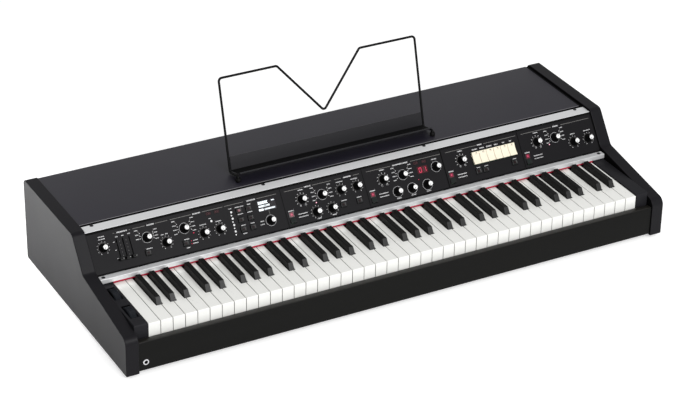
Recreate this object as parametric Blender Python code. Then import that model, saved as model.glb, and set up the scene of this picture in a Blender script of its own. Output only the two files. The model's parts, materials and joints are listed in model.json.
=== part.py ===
"""Stage piano: 73 keys, a sloping control panel and a bent-wire music stand.

Units are metres. X runs along the keyboard towards the treble end, Y away from the player
and Z up. The origin is on the floor under the middle of the case.
"""
import math

import bmesh
import bpy
from mathutils import Matrix, Vector

# Clearances
FIT = 0.0003             # between pieces that touch
RUN = 0.0005             # round a piece that moves in an opening

# Keyboard
WHITE_PITCH = 0.0235
WHITE_COUNT = 43
FIRST_LETTER = "E"
KEY_GAP = 0.001
KEY_WALL = 0.0016
KEY_TOP = 0.091          # top of the white keys above the floor
SKIRT_DEPTH = 0.016
LIP_DEPTH = 0.027
PIVOT_DISTANCE = 0.215   # from the white keys' fronts back to the fulcrum
COMB_GAP = 0.0012         # from the keys' rear ends to the strips that join them
COMB_DEPTH = 0.004
COMB_HEIGHT = 0.0045
COMB_STEP = 0.0052        # from one comb's strip up to the next
COMB_TAB = 0.006          # width of the tab that joins a key to its strip
KEY_SWING = 2.65          # degrees, 10 mm at the keys' fronts
FRAME_FRONT = 0.012       # key frame's front edge, behind the white keys' fronts
FRAME_GUIDE = 0.060       # its guide, behind the white keys' fronts
FRAME_BEHIND_PIVOT = 0.013
BLACK_WIDTH = 0.011
BLACK_TOP_WIDTH = 0.0094
BLACK_HEIGHT = 0.012
BLACK_FRONT = 0.0495     # behind the white keys' fronts
BLACK_REAR_GAP = 0.005   # in front of the lower trim
BLACK_NOSE = 0.0075      # length of the sloping front
BLACK_TO_THE_RIGHT = {"C": -0.00235, "D": 0.00235, "F": -0.00336, "G": 0.0, "A": 0.00336}

# Case
FOOT_HEIGHT = 0.0102
FOOT_RADIUS = 0.014
FOOT_INSET_X = 0.075
FOOT_INSET_Y = 0.040
CASE_DEPTH = 0.458
SIDE_THICK = 0.025
SIDE_DROP = 0.0035       # side panels below the bottom board
SIDE_FRONT_HEIGHT = 0.074
SIDE_SLOPE = 9.7         # degrees, beside the keys
SIDE_PROUD_PANEL = 0.003
SIDE_PROUD_TOP = 0.0045
SIDE_NOSE_RADIUS = 0.016
SIDE_HOLLOW_RADIUS = 0.010
SIDE_SHOULDER_RADIUS = 0.012
SIDE_REAR_RADIUS = 0.010
SIDE_REAR_CHAMFER = 0.004
KEYS_BEHIND_SIDES = 0.019
BOARD_THICK = 0.008
RAIL_THICK = 0.0135
RAIL_HEIGHT = 0.0572
RAIL_TO_KEYS = 0.003
RAIL_EDGE = 0.0015
SHEET = 0.002            # steel sheet of cover, rear panel and chassis
REAR_INSET = 0.002       # cover's rear flange in front of the side panels' rear edge
FLANGE = 0.018

# Key blocks
BLOCK_WIDTH = 0.0256
BLOCK_ABOVE_KEYS = 0.0025
BLOCK_EDGE = 0.004
BLOCK_NOTCH_DEPTH = 0.020
BLOCK_NOTCH_TOP = 0.040
BLOCK_BEHIND_TRIM = 0.003

# Wheels
WHEEL_RADIUS = 0.028
WHEEL_WIDTH = 0.0125
WHEEL_SIDE_GAP = 0.002
WHEEL_PROUD = 0.006
WHEEL_EDGE = 0.0015
AXLE_RADIUS = 0.003
WELL_GAP = 0.003         # round the wheel in its well
WELL_SIDES = 28
WELL_WALL = 0.0045       # between the two wells
WELL_FRONT_WALL = 0.016

# Control panel
PANEL_SLOPE = 53.9       # degrees
PANEL_LENGTH = 0.0797
PANEL_FRONT = 0.1624     # lower edge, behind the white keys' fronts
PANEL_ABOVE_KEYS = 0.0139
PLATE_THICK = 0.002
PLATE_LOW = 0.0005
PLATE_TOP_GAP = 0.0032
MODULE_PITCH = 0.170
MODULE_COUNT = 4
SEAM = 0.0006            # groove between the sections of the plate, as wide as deep
LOWER_TRIM_DEPTH = 0.0131
LOWER_TRIM_HEIGHT = 0.0091
LOWER_TRIM_FRONT = 0.1481
UPPER_TRIM_WIDTH = 0.0251
UPPER_TRIM_THICK = 0.0038
UPPER_TRIM_REAR_GAP = 0.0030   # open channel between the trim and the cover's step
FELT_WIDTH = 0.006
FELT_HEIGHT = 0.0030
FELT_SETBACK = 0.0011

# Controls
BOARD_SETBACK = 0.012    # circuit board behind the panel's face
PCB_THICK = 0.0016
PCB_MARGIN = 0.006
SHAFT_RADIUS = 0.003
SHAFT_HEIGHT = 0.0105
SHAFT_SIDES = 8
POT_RADIUS = 0.0075
KNOB_SIDES = 16
KNOB_CLEAR = 0.0006
KNOB_HEIGHT = 0.0150
KNOB_SKIRT_RADIUS = 0.0080
KNOB_BODY_RADIUS = 0.0066
KNOB_CAP_RADIUS = 0.0046
KNOB_SKIRT_HEIGHT = 0.0022
KNOB_SHOULDER = 0.0008   # height of the step from the skirt in to the body
KNOB_CROWN_HEIGHT = 0.0020
KNOB_CROWN_EDGE = 0.0006
KNOB_ROWS = {"upper": 0.0466, "middle": 0.0297, "lower": 0.0178, "menu": 0.0230}
BUTTON_WIDTH = 0.011
BUTTON_LENGTH = 0.010
BUTTON_PROUD = 0.003
BUTTON_STEM = 0.0065
BUTTON_TRAVEL = 0.0005
SWITCH_GAP = BUTTON_TRAVEL + FIT
SWITCH_WIDTH = 0.006     # switch on the board under a button
CARRIER_LOW = 0.0016     # strip behind the plate that joins the buttons
CARRIER_WIDTH = 0.0052
CARRIER_THICK = 0.003
CARRIER_RIB = 0.004
ROCKER_WIDTH = 0.011
ROCKER_LENGTH = 0.0212
ROCKER_TILT = 6.5        # degrees
ROCKER_AXIS_DEPTH = 0.0015
ROCKER_RISE = 0.0020     # middle of the face above the axis
ROCKER_SKIRT = 0.001
ROCKER_KEEL = 0.0035
ROCKER_BLOCK = 0.003     # block on the board under a rocker
ROCKER_PLACE = 0.0105    # from a module's left edge
ROCKER_HEIGHT_ON_PANEL = 0.0187
TAB_COUNT = 6
TAB_PITCH = 0.0159
TAB_LENGTH = 0.0238
TAB_LOW = 0.0322
TAB_MIDDLE = (3, 0.6462)  # section of the panel, share of its width
TAB_PROUD = 0.005
TAB_THICK = 0.004
TAB_AXIS_UP = 0.0500
TAB_RISE = 0.001          # lower end above the upper end
TAB_FOOT = 0.003          # width of the foot that a tab rocks on
TAB_BAR = 0.0024
TAB_POST = (0.002, 0.006)
TAB_ROD_RADIUS = 0.0015
TAB_ROD_DEPTH = 0.0045
SLIDERS = ((0, 0.1381), (0, 0.1697), (0, 0.2026))
SLIDER_LOW = 0.0200
SLIDER_TRAVEL = 0.034
SLIDER_CAP = (0.0080, 0.0055, 0.0090)
SLIDER_SLOT = 0.0024
SLIDER_STEM = 0.0014
SLIDER_BODY_WIDTH = 0.007
SLIDER_BODY_HEIGHT = 0.0065
MENU_WINDOW = (0, 0.9163, 0.0524, 0.0374, 0.0198)
DIGIT_WINDOW = (2, 0.7315, 0.0473, 0.0220, 0.0134)

# Rear connectors: places along the row are measured from the opening's bass end
REAR_ROW_HEIGHT = 0.085
REAR_ROW_IN = 0.03665     # opening's bass end, in from the side panel
REAR_OPENING = (0.320, 0.040)
CONNECTOR_MARGIN = 0.007
CONNECTOR_DEPTH = 0.018
JACK_PLACES = (0.195, 0.215, 0.240, 0.260, 0.285, 0.305)
JACK_RADIUS = 0.0055
JACK_BORE = 0.0033
JACK_PROUD = 0.0012
DIN_PLACES = (0.137, 0.163)
DIN_RADIUS = 0.0095
DIN_BORE = 0.0076
DIN_DEPTH = 0.009
USB_PLACE = (0.109, 0.0084, 0.0078)
INLET_PLACE = (0.029, 0.0240, 0.0160)
INLET_WALL = 0.003
INLET_DEPTH = 0.014
POWER_PLACE = 0.071
POWER_WIDTH = 0.012
POWER_RADIUS = 0.0085
POWER_TILT = 8.0         # degrees
POWER_RISE = 0.0006      # middle of the face behind the axis
HEADPHONE_HEIGHT = 0.027
HEADPHONE_FROM_END = 0.013
HEADPHONE_BARREL = 0.0045
HEADPHONE_FLANGE = 0.0058
HEADPHONE_BEHIND_RAIL = 0.004

# Music stand
WIRE_RADIUS = 0.00225
STAND_WIDTH = 0.412
STAND_HEIGHT = 0.179
STAND_LEAN = 15.0        # degrees
STAND_FROM_KEYS = 0.2934
STAND_ARM = 0.0344
STAND_ARM_RISE = 0.0090
STAND_TOP_RUN = 0.119
STAND_NOTCH_HEIGHT = 0.076
STAND_CORNER = 0.012
STAND_NOTCH_CORNER = 0.008
STAND_BEND = 0.006
STAND_PLUG_BEND = 0.0035
SHELF_SHEET = 0.0015
SHELF_BACK = 0.028
SHELF_DEPTH = 0.038
SHELF_LIP = 0.004
BUSH_RADIUS = 0.005
BUSH_HEIGHT = 0.0075

# Screws
SCREW_HEAD = 0.0035
SCREW_HEAD_HEIGHT = 0.0012
UPPER_TRIM_SCREW_IN = 0.02105
UPPER_TRIM_SCREW_BACK = 0.0201
LOWER_TRIM_SCREW_IN = 0.0095

# Power supply
SUPPLY_PLACE = 0.115      # middle, from the rear opening's bass end
SUPPLY_REAR_GAP = 0.0127
SUPPLY_SIZE = (0.150, 0.090, 0.036)

# Places worked out from the sizes above
LETTERS = "CDEFGAB"
KEYBOARD_WIDTH = WHITE_PITCH * WHITE_COUNT
INNER_HALF = KEYBOARD_WIDTH / 2 + KEY_GAP / 2 + BLOCK_WIDTH + FIT
OUTER_HALF = INNER_HALF + SIDE_THICK
CASE_FRONT = -CASE_DEPTH / 2
CASE_REAR = CASE_DEPTH / 2
KEY_FRONT = CASE_FRONT + KEYS_BEHIND_SIDES
KEY_REAR = KEY_FRONT + PIVOT_DISTANCE + SHEET
PIVOT = Vector((0, KEY_FRONT + PIVOT_DISTANCE, KEY_TOP - SKIRT_DEPTH))
BOARD_BOTTOM = FOOT_HEIGHT + FIT
BOARD_TOP = BOARD_BOTTOM + BOARD_THICK
SLOPE = math.radians(PANEL_SLOPE)
PANEL_ORIGIN = Vector((0, KEY_FRONT + PANEL_FRONT, KEY_TOP + PANEL_ABOVE_KEYS))
PANEL_TURN = Matrix.Rotation(SLOPE, 4, "X")
PANEL = Matrix.Translation(PANEL_ORIGIN) @ PANEL_TURN
PANEL_TOP_EDGE = PANEL @ Vector((0, PANEL_LENGTH, 0))
LID_TOP = PANEL_TOP_EDGE.z
TRIM_BOTTOM = PANEL_ORIGIN.z - LOWER_TRIM_HEIGHT
BLOCK_TOP = KEY_TOP + BLOCK_ABOVE_KEYS
REAR_OUTSIDE = CASE_REAR - REAR_INSET - SHEET - FIT
REAR_INSIDE = REAR_OUTSIDE - SHEET
PANEL_HALF = INNER_HALF - FIT
MODULE_LEFT = PANEL_HALF - MODULE_COUNT * MODULE_PITCH
REAR_LEFT = -INNER_HALF + REAR_ROW_IN

# The panel's sections are numbered from 0, the main one at the bass end, to 4.
# Knobs: name, section, share of the section's width, row
KNOBS = (
    ("main_knob_1", 0, 0.0679, "upper"),
    ("main_selector_1", 0, 0.2890, "upper"),
    ("main_knob_2", 0, 0.3773, "middle"),
    ("main_selector_2", 0, 0.4795, "upper"),
    ("main_knob_3", 0, 0.5714, "middle"),
    ("main_knob_4", 0, 0.6550, "middle"),
    ("menu_encoder", 0, 0.9169, "menu"),
    ("module_1_knob_1", 1, 0.2265, "upper"),
    ("module_1_selector", 1, 0.4730, "upper"),
    ("module_1_knob_2", 1, 0.7077, "upper"),
    ("module_1_knob_3", 1, 0.9053, "upper"),
    ("module_1_knob_4", 1, 0.3612, "lower"),
    ("module_1_knob_5", 1, 0.5506, "lower"),
    ("module_2_knob_1", 2, 0.2324, "upper"),
    ("module_2_selector", 2, 0.4777, "upper"),
    ("module_2_encoder", 2, 0.9025, "upper"),
    ("module_2_knob_2", 2, 0.3660, "lower"),
    ("module_2_knob_3", 2, 0.5500, "lower"),
    ("module_2_knob_4", 2, 0.7425, "lower"),
    ("module_3_knob", 3, 0.2306, "upper"),
    ("module_4_knob_1", 4, 0.2259, "upper"),
    ("module_4_selector", 4, 0.4683, "upper"),
    ("module_4_knob_2", 4, 0.6947, "middle"),
    ("module_4_knob_3", 4, 0.8883, "middle"),
)

# Push buttons: section, share of the section's width, place up the panel
BUTTONS = (
    (0, 0.7680, 0.0542),
    (0, 0.8188, 0.0542),
    (0, 0.7680, 0.0368),
    (0, 0.8188, 0.0368),
    (0, 0.7680, 0.0192),
    (0, 0.8188, 0.0192),
    (0, 0.2753, 0.0196),
    (0, 0.4676, 0.0196),
    (1, 0.6856, 0.0190),
    (1, 0.8856, 0.0190),
    (3, 0.4038, 0.0187),
    (3, 0.4979, 0.0187),
    (3, 0.8750, 0.0187),
)


def clear_scene():
    for item in list(bpy.data.objects):
        bpy.data.objects.remove(item, do_unlink=True)


def material(name, colour, roughness, metallic=0.0):
    """A Principled material in one plain finish, made once for each name."""
    found = bpy.data.materials.get(name)
    if found:
        return found
    made = bpy.data.materials.new(name)
    made.use_nodes = True
    shader = made.node_tree.nodes["Principled BSDF"]
    shader.inputs["Base Color"].default_value = (*colour, 1.0)
    shader.inputs["Roughness"].default_value = roughness
    shader.inputs["Metallic"].default_value = metallic
    made.diffuse_color = (*colour, 1.0)
    return made


def satin_black():
    return material("satin_black_panel", (0.075, 0.075, 0.078), 0.45)


def black_sheet():
    return material("black_sheet_metal", (0.045, 0.043, 0.048), 0.5, 0.1)


def aluminium():
    return material("brushed_aluminium", (0.72, 0.73, 0.75), 0.35, 1.0)


def steel():
    return material("zinc_steel", (0.55, 0.56, 0.57), 0.4, 1.0)


def ivory_plastic():
    return material("white_key_plastic", (0.86, 0.86, 0.83), 0.3)


def ebony_plastic():
    return material("black_key_plastic", (0.022, 0.022, 0.024), 0.35)


def black_plastic():
    return material("black_plastic", (0.03, 0.03, 0.032), 0.45)


def cream_plastic():
    return material("cream_plastic", (0.85, 0.80, 0.66), 0.35)


def red_felt():
    return material("red_felt", (0.35, 0.01, 0.03), 0.95)


def black_rubber():
    return material("black_rubber", (0.02, 0.02, 0.02), 0.85)


def green_board():
    return material("green_circuit_board", (0.03, 0.16, 0.07), 0.5)


def add_object(name, bm, finish, origin=(0, 0, 0), smooth=False):
    """Turns a bmesh in world places into an object whose own origin is at origin."""
    origin = Vector(origin)
    bmesh.ops.translate(bm, verts=bm.verts, vec=-origin)
    bmesh.ops.recalc_face_normals(bm, faces=bm.faces)
    mesh = bpy.data.meshes.new(name)
    bm.to_mesh(mesh)
    bm.free()
    mesh.materials.append(finish)
    if smooth:
        mesh.shade_smooth()
        mesh.set_sharp_from_angle(angle=math.radians(35))
    item = bpy.data.objects.new(name, mesh)
    item.location = origin
    bpy.context.scene.collection.objects.link(item)
    return item


def on_panel(item, place):
    """Puts an object modelled in the panel's own axes at a place on the panel."""
    item.parent = bpy.data.objects["panel_frame"]
    item.location = place
    return item


def panel_empty():
    """The empty that carries the controls: X along, Y up the slope, Z out of the panel."""
    empty = bpy.data.objects.new("panel_frame", None)
    empty.location = PANEL_ORIGIN
    empty.rotation_euler = (SLOPE, 0, 0)
    bpy.context.scene.collection.objects.link(empty)


def modify(item, tool, operation):
    """Adds an exact Boolean of a hidden tool object to an object."""
    tool.hide_render = True
    tool.display_type = "WIRE"
    step = item.modifiers.new(operation.lower(), "BOOLEAN")
    step.operation = operation
    step.solver = "EXACT"
    step.object = tool


def add_box(bm, low, high):
    """Adds a box between two corners."""
    low = Vector(low)
    high = Vector(high)
    place = Matrix.Translation((low + high) / 2) @ Matrix.Diagonal((*(high - low), 1.0))
    bmesh.ops.create_cube(bm, size=1.0, matrix=place)


def add_prism(bm, profile, x_low, x_high):
    """Adds a profile of (y, z) points drawn out along X."""
    ends = []
    for x in (x_low, x_high):
        ends.append([bm.verts.new((x, y, z)) for y, z in profile])
    bm.faces.new(ends[0])
    bm.faces.new(ends[1][::-1])
    count = len(profile)
    for i in range(count):
        k = (i + 1) % count
        bm.faces.new((ends[0][i], ends[1][i], ends[1][k], ends[0][k]))


def add_turned(bm, profile, sides, place, turn=None):
    """Adds a solid turned about its own Z from (radius, height) points, closed on the axis."""
    rings = []
    for radius, height in profile:
        ring = []
        for i in range(sides):
            angle = 2 * math.pi * (i + 0.5) / sides
            spot = Vector((radius * math.cos(angle), radius * math.sin(angle), height))
            if turn:
                spot = turn @ spot
            ring.append(bm.verts.new(spot + Vector(place)))
        rings.append(ring)
    bm.faces.new(rings[0][::-1])
    bm.faces.new(rings[-1])
    for low, high in zip(rings, rings[1:]):
        for i in range(sides):
            k = (i + 1) % sides
            bm.faces.new((low[i], low[k], high[k], high[i]))


def add_cylinder(bm, radius, low, high, sides, place, turn=None):
    add_turned(bm, ((radius, low), (radius, high)), sides, place, turn)


def arc_points(before, corner, after, radius, steps):
    """Points that round a corner of a polygon with an arc, in any number of dimensions."""
    before = Vector(before)
    corner = Vector(corner)
    after = Vector(after)
    back = (before - corner).normalized()
    ahead = (after - corner).normalized()
    half = back.angle(ahead) / 2
    reach = radius / math.tan(half)
    centre = corner + (back + ahead).normalized() * (radius / math.sin(half))
    start = corner + back * reach - centre
    end = corner + ahead * reach - centre
    sweep = start.angle(end)
    points = []
    for i in range(steps + 1):
        t = i / steps
        spoke = (start * math.sin((1 - t) * sweep) + end * math.sin(t * sweep)) / math.sin(sweep)
        points.append(centre + spoke)
    return points


def rounded(corners, steps=4, closed=True):
    """A polygon whose corners, given as (point, radius), are rounded where a radius is set."""
    points = []
    count = len(corners)
    for i, (corner, radius) in enumerate(corners):
        at_end = not closed and i in (0, count - 1)
        if radius and not at_end:
            before = corners[i - 1][0]
            after = corners[(i + 1) % count][0]
            points += arc_points(before, corner, after, radius, steps)
        else:
            points.append(Vector(corner))
    return points


def behind_keys(distance):
    """World y of a distance behind the white keys' fronts."""
    return KEY_FRONT + distance


def side_profile():
    """Outline of a side panel, seen from the end of the keyboard."""
    bottom = BOARD_BOTTOM - SIDE_DROP
    nose = Vector((CASE_FRONT, bottom + SIDE_FRONT_HEIGHT))
    top = LID_TOP + SIDE_PROUD_TOP
    rise = math.tan(math.radians(SIDE_SLOPE))
    lean = math.tan(SLOPE)
    # a point on the panel's face, moved out along its normal
    face_y = PANEL_ORIGIN.y - SIDE_PROUD_PANEL * math.sin(SLOPE)
    face_z = PANEL_ORIGIN.z + SIDE_PROUD_PANEL * math.cos(SLOPE)
    hollow_y = (nose.y - face_z + lean * face_y - rise * nose.x) / (lean - rise)
    hollow = (hollow_y, nose.y + rise * (hollow_y - nose.x))
    shoulder = (face_y + (top - face_z) / lean, top)
    return rounded((
        ((CASE_FRONT, bottom), 0),
        (nose, SIDE_NOSE_RADIUS),
        (hollow, SIDE_HOLLOW_RADIUS),
        (shoulder, SIDE_SHOULDER_RADIUS),
        ((CASE_REAR, top), SIDE_REAR_RADIUS),
        ((CASE_REAR, bottom + SIDE_REAR_CHAMFER), 0),
        ((CASE_REAR - SIDE_REAR_CHAMFER, bottom), 0),
    ), steps=5)


def side_panels():
    for name, x_low, x_high in (("left_side_panel", -OUTER_HALF, -INNER_HALF),
                                ("right_side_panel", INNER_HALF, OUTER_HALF)):
        bm = bmesh.new()
        add_prism(bm, side_profile(), x_low, x_high)
        add_object(name, bm, satin_black())


def screw_heads(item, places):
    """Joins the low domed heads of an object's screws to its top."""
    bm = bmesh.new()
    for place in places:
        add_turned(bm, ((SCREW_HEAD, -SCREW_HEAD_HEIGHT), (SCREW_HEAD, SCREW_HEAD_HEIGHT / 2),
                        (SCREW_HEAD / 2, SCREW_HEAD_HEIGHT)), 10, place)
    modify(item, add_object(item.name + "_screws", bm, black_plastic()), "UNION")


def bottom_board():
    bm = bmesh.new()
    half = INNER_HALF - FIT
    front = behind_keys(-RAIL_TO_KEYS) + FIT
    add_box(bm, (-half, front, BOARD_BOTTOM), (half, REAR_INSIDE - FIT, BOARD_TOP))
    add_object("bottom_board", bm, black_sheet())


def headphone_place():
    x = -INNER_HALF + HEADPHONE_FROM_END
    return Vector((x, behind_keys(-RAIL_TO_KEYS - RAIL_THICK), HEADPHONE_HEIGHT))


def front_rail():
    half = INNER_HALF - FIT
    rear = behind_keys(-RAIL_TO_KEYS)
    front = rear - RAIL_THICK
    top = BOARD_BOTTOM + RAIL_HEIGHT
    bm = bmesh.new()
    add_prism(bm, rounded((
        ((front, BOARD_BOTTOM), 0),
        ((front, top), RAIL_EDGE),
        ((rear, top), RAIL_EDGE),
        ((rear, BOARD_BOTTOM), 0),
    ), steps=2), -half, half)
    rail = add_object("front_rail", bm, satin_black())
    bm = bmesh.new()
    turn = Matrix.Rotation(math.pi / 2, 3, "X")
    reach = RAIL_THICK * 2
    add_cylinder(bm, HEADPHONE_BARREL + FIT, -reach, reach, 16, headphone_place(), turn)
    modify(rail, add_object("front_rail_hole", bm, satin_black()), "DIFFERENCE")


def headphone_socket():
    """Chrome jack socket, turned about the line that the plug goes in along."""
    place = headphone_place()
    turn = Matrix.Rotation(math.pi / 2, 3, "X")
    length = RAIL_THICK + HEADPHONE_BEHIND_RAIL
    bm = bmesh.new()
    add_turned(bm, ((HEADPHONE_BARREL, -length), (HEADPHONE_BARREL, FIT), (HEADPHONE_FLANGE, FIT),
                    (HEADPHONE_FLANGE, JACK_PROUD), (HEADPHONE_BARREL, JACK_PROUD * 1.6)),
               16, place, turn)
    socket = add_object("headphone_socket", bm, steel(), smooth=True)
    bm = bmesh.new()
    add_cylinder(bm, JACK_BORE, -length + SHEET, JACK_PROUD * 3, 12, place, turn)
    modify(socket, add_object("headphone_bore", bm, steel()), "DIFFERENCE")


def rear_panel():
    bm = bmesh.new()
    half = INNER_HALF - FIT
    add_box(bm, (-half, REAR_INSIDE, BOARD_BOTTOM),
            (half, REAR_OUTSIDE, LID_TOP - SHEET - FIT))
    panel = add_object("rear_panel", bm, black_sheet())
    width, height = REAR_OPENING
    bm = bmesh.new()
    add_box(bm, (REAR_LEFT, REAR_INSIDE - SHEET, REAR_ROW_HEIGHT - height / 2),
            (REAR_LEFT + width, REAR_OUTSIDE + SHEET, REAR_ROW_HEIGHT + height / 2))
    modify(panel, add_object("rear_panel_opening", bm, black_sheet()), "DIFFERENCE")


def top_cover():
    """Folded sheet: rear flange, flat top and a step down that carries the upper trim."""
    rear = CASE_REAR - REAR_INSET
    step_y = PANEL_TOP_EDGE.y + UPPER_TRIM_WIDTH + UPPER_TRIM_REAR_GAP
    seat = LID_TOP - UPPER_TRIM_THICK - FIT
    front = PANEL_TOP_EDGE.y + SHEET
    profile = (
        (rear, LID_TOP - FLANGE),
        (rear, LID_TOP),
        (step_y, LID_TOP),
        (step_y, seat),
        (front, seat),
        (front, seat - SHEET),
        (step_y + SHEET, seat - SHEET),
        (step_y + SHEET, LID_TOP - SHEET),
        (rear - SHEET, LID_TOP - SHEET),
        (rear - SHEET, LID_TOP - FLANGE),
    )
    bm = bmesh.new()
    half = INNER_HALF - FIT
    add_prism(bm, profile, -half, half)
    cover = add_object("top_cover", bm, black_sheet())
    bushes = bmesh.new()
    bores = bmesh.new()
    for place in bush_places():
        add_turned(bushes, ((BUSH_RADIUS, -SHEET / 2), (BUSH_RADIUS, BUSH_HEIGHT * 0.8),
                            (BUSH_RADIUS * 0.8, BUSH_HEIGHT)), 12, place)
        add_cylinder(bores, WIRE_RADIUS + FIT, SHEET / 2, BUSH_HEIGHT * 2, 10, place)
    modify(cover, add_object("stand_bushes", bushes, black_rubber()), "UNION")
    modify(cover, add_object("stand_bores", bores, black_rubber()), "DIFFERENCE")


def trim_bars():
    half = INNER_HALF - FIT
    front = PANEL_TOP_EDGE.y
    bm = bmesh.new()
    add_box(bm, (-half, front, LID_TOP - UPPER_TRIM_THICK),
            (half, front + UPPER_TRIM_WIDTH, LID_TOP))
    upper = add_object("upper_trim_bar", bm, aluminium())
    outer = half - UPPER_TRIM_SCREW_IN
    screw_heads(upper, [(x, front + UPPER_TRIM_SCREW_BACK, LID_TOP)
                        for x in (-outer, -outer / 3, outer / 3, outer)])
    front = behind_keys(LOWER_TRIM_FRONT)
    bm = bmesh.new()
    add_box(bm, (-half, front, TRIM_BOTTOM), (half, front + LOWER_TRIM_DEPTH, PANEL_ORIGIN.z))
    lower = add_object("lower_trim_bar", bm, aluminium())
    x = half - LOWER_TRIM_SCREW_IN
    middle = front + LOWER_TRIM_DEPTH / 2
    screw_heads(lower, [(-x, middle, PANEL_ORIGIN.z), (x, middle, PANEL_ORIGIN.z)])


def key_felt():
    """Red felt strip under the lower trim, over the rear ends of the keys that show."""
    front = behind_keys(LOWER_TRIM_FRONT + FELT_SETBACK)
    half = KEYBOARD_WIDTH / 2
    bm = bmesh.new()
    add_box(bm, (-half, front, TRIM_BOTTOM - FIT - FELT_HEIGHT),
            (half, front + FELT_WIDTH, TRIM_BOTTOM - FIT))
    add_object("key_felt", bm, red_felt())


def bush_places():
    """Feet of the two spacers on the lid that the music stand plugs into."""
    y = behind_keys(STAND_FROM_KEYS - STAND_ARM)
    return [Vector((-STAND_WIDTH / 2, y, LID_TOP)), Vector((STAND_WIDTH / 2, y, LID_TOP))]


def rubber_feet():
    for side, x in (("left", -OUTER_HALF + FOOT_INSET_X), ("right", OUTER_HALF - FOOT_INSET_X)):
        for end, y in (("front", CASE_FRONT + FOOT_INSET_Y), ("rear", CASE_REAR - FOOT_INSET_Y)):
            bm = bmesh.new()
            add_turned(bm, ((FOOT_RADIUS * 0.85, 0), (FOOT_RADIUS, FOOT_HEIGHT)), 16, (x, y, 0))
            add_object("rubber_foot_" + end + "_" + side, bm, black_rubber(), smooth=True)


def key_frame():
    """Steel chassis section: base, front guide and the rear fulcrum that the keys rock on."""
    base = BOARD_TOP + FIT
    base_top = base + SHEET
    front = behind_keys(FRAME_FRONT)
    rear = PIVOT.y + FRAME_BEHIND_PIVOT
    guide = behind_keys(FRAME_GUIDE)
    travel = math.tan(math.radians(KEY_SWING)) * (PIVOT.y - guide)
    guide_top = PIVOT.z - travel - 2 * RUN
    fulcrum = PIVOT.y - SHEET / 2
    profile = (
        (front, base), (front, base_top),
        (guide, base_top), (guide, guide_top), (guide + SHEET, guide_top),
        (guide + SHEET, base_top), (fulcrum, base_top), (fulcrum, PIVOT.z - FIT),
        (fulcrum + SHEET, PIVOT.z - FIT), (fulcrum + SHEET, base_top),
        (rear, base_top), (rear, base),
    )
    bm = bmesh.new()
    half = KEYBOARD_WIDTH / 2 - KEY_GAP
    add_prism(bm, profile, -half, half)
    add_object("key_frame", bm, steel())


def white_key_letter(index):
    start = LETTERS.index(FIRST_LETTER)
    return LETTERS[(start + index) % len(LETTERS)]


def white_key_left(index):
    return -KEYBOARD_WIDTH / 2 + index * WHITE_PITCH


def black_key_centre(index):
    """Middle of the black key to the right of a white key, or None where there is none."""
    letter = white_key_letter(index)
    if letter not in BLACK_TO_THE_RIGHT or not 0 <= index < WHITE_COUNT - 1:
        return None
    return white_key_left(index + 1) + BLACK_TO_THE_RIGHT[letter]


def white_key_outline(index):
    """Plan of a white key as a rectilinear outline, anticlockwise from its front left corner."""
    left = white_key_left(index) + KEY_GAP / 2
    right = white_key_left(index + 1) - KEY_GAP / 2
    front = KEY_FRONT
    head = behind_keys(BLACK_FRONT) - KEY_GAP
    tail = KEY_REAR
    beside = BLACK_WIDTH / 2 + KEY_GAP
    before = black_key_centre(index - 1)
    after = black_key_centre(index)
    outline = [(left, front), (right, front), (right, head)]
    if after is None:
        outline.append((right, tail))
    else:
        outline += [(after - beside, head), (after - beside, tail)]
    if before is None:
        outline.append((left, tail))
    else:
        outline += [(before + beside, tail), (before + beside, head)]
    outline.append((left, head))
    return outline


def inset(outline, wall):
    """The same rectilinear, anticlockwise outline moved in by a wall."""
    points = []
    count = len(outline)
    for i, corner in enumerate(outline):
        inward = []
        for start, end in ((outline[i - 1], corner), (corner, outline[(i + 1) % count])):
            along = (Vector(end) - Vector(start)).normalized()
            inward.append(wall * Vector((-along.y, along.x)))
        straight = inward[0].dot(inward[1]) > 0
        points.append(Vector(corner) + (inward[0] if straight else inward[0] + inward[1]))
    return points


def skirt_bottom(y):
    """Lower edge of a white key: a deep lip at the front, rising to the skirt's level."""
    head = BLACK_FRONT - KEY_GAP
    share = min(max((y - KEY_FRONT) / head, 0.0), 1.0)
    return KEY_TOP - LIP_DEPTH + share * (LIP_DEPTH - SKIRT_DEPTH)


def add_white_key(bm, index):
    """A hollow moulded key: top, outer walls, lower rim and the pocket underneath."""
    outside = white_key_outline(index)
    inside = inset(outside, KEY_WALL)
    top = [bm.verts.new((x, y, KEY_TOP)) for x, y in outside]
    rim = [bm.verts.new((x, y, skirt_bottom(y))) for x, y in outside]
    pocket_rim = [bm.verts.new((x, y, skirt_bottom(y))) for x, y in inside]
    ceiling = [bm.verts.new((x, y, KEY_TOP - KEY_WALL)) for x, y in inside]
    bm.faces.new(top)
    bm.faces.new(ceiling[::-1])
    count = len(outside)
    for i in range(count):
        k = (i + 1) % count
        bm.faces.new((rim[i], rim[k], top[k], top[i]))
        bm.faces.new((pocket_rim[i], pocket_rim[k], rim[k], rim[i]))
        bm.faces.new((ceiling[i], ceiling[k], pocket_rim[k], pocket_rim[i]))


def key_comb(name, bm, tab_places, level, finish):
    """One moulded set of keys: a strip behind the fulcrum with a tab to each of its keys."""
    keys = add_object(name, bm, finish, origin=PIVOT)
    low = PIVOT.z + level * COMB_STEP
    high = low + COMB_HEIGHT
    strip = bmesh.new()
    front = KEY_REAR + COMB_GAP
    half = KEYBOARD_WIDTH / 2 - KEY_GAP
    add_box(strip, (-half, front, low), (half, front + COMB_DEPTH, high))
    tool = add_object(name + "_strip", strip, finish)
    tabs = bmesh.new()
    for x in tab_places:
        add_box(tabs, (x - COMB_TAB / 2, KEY_REAR - KEY_WALL / 2, low + FIT),
                (x + COMB_TAB / 2, front + COMB_DEPTH / 2, high - FIT))
    modify(keys, add_object(name + "_tabs", tabs, finish), "UNION")
    modify(keys, tool, "UNION")


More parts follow.
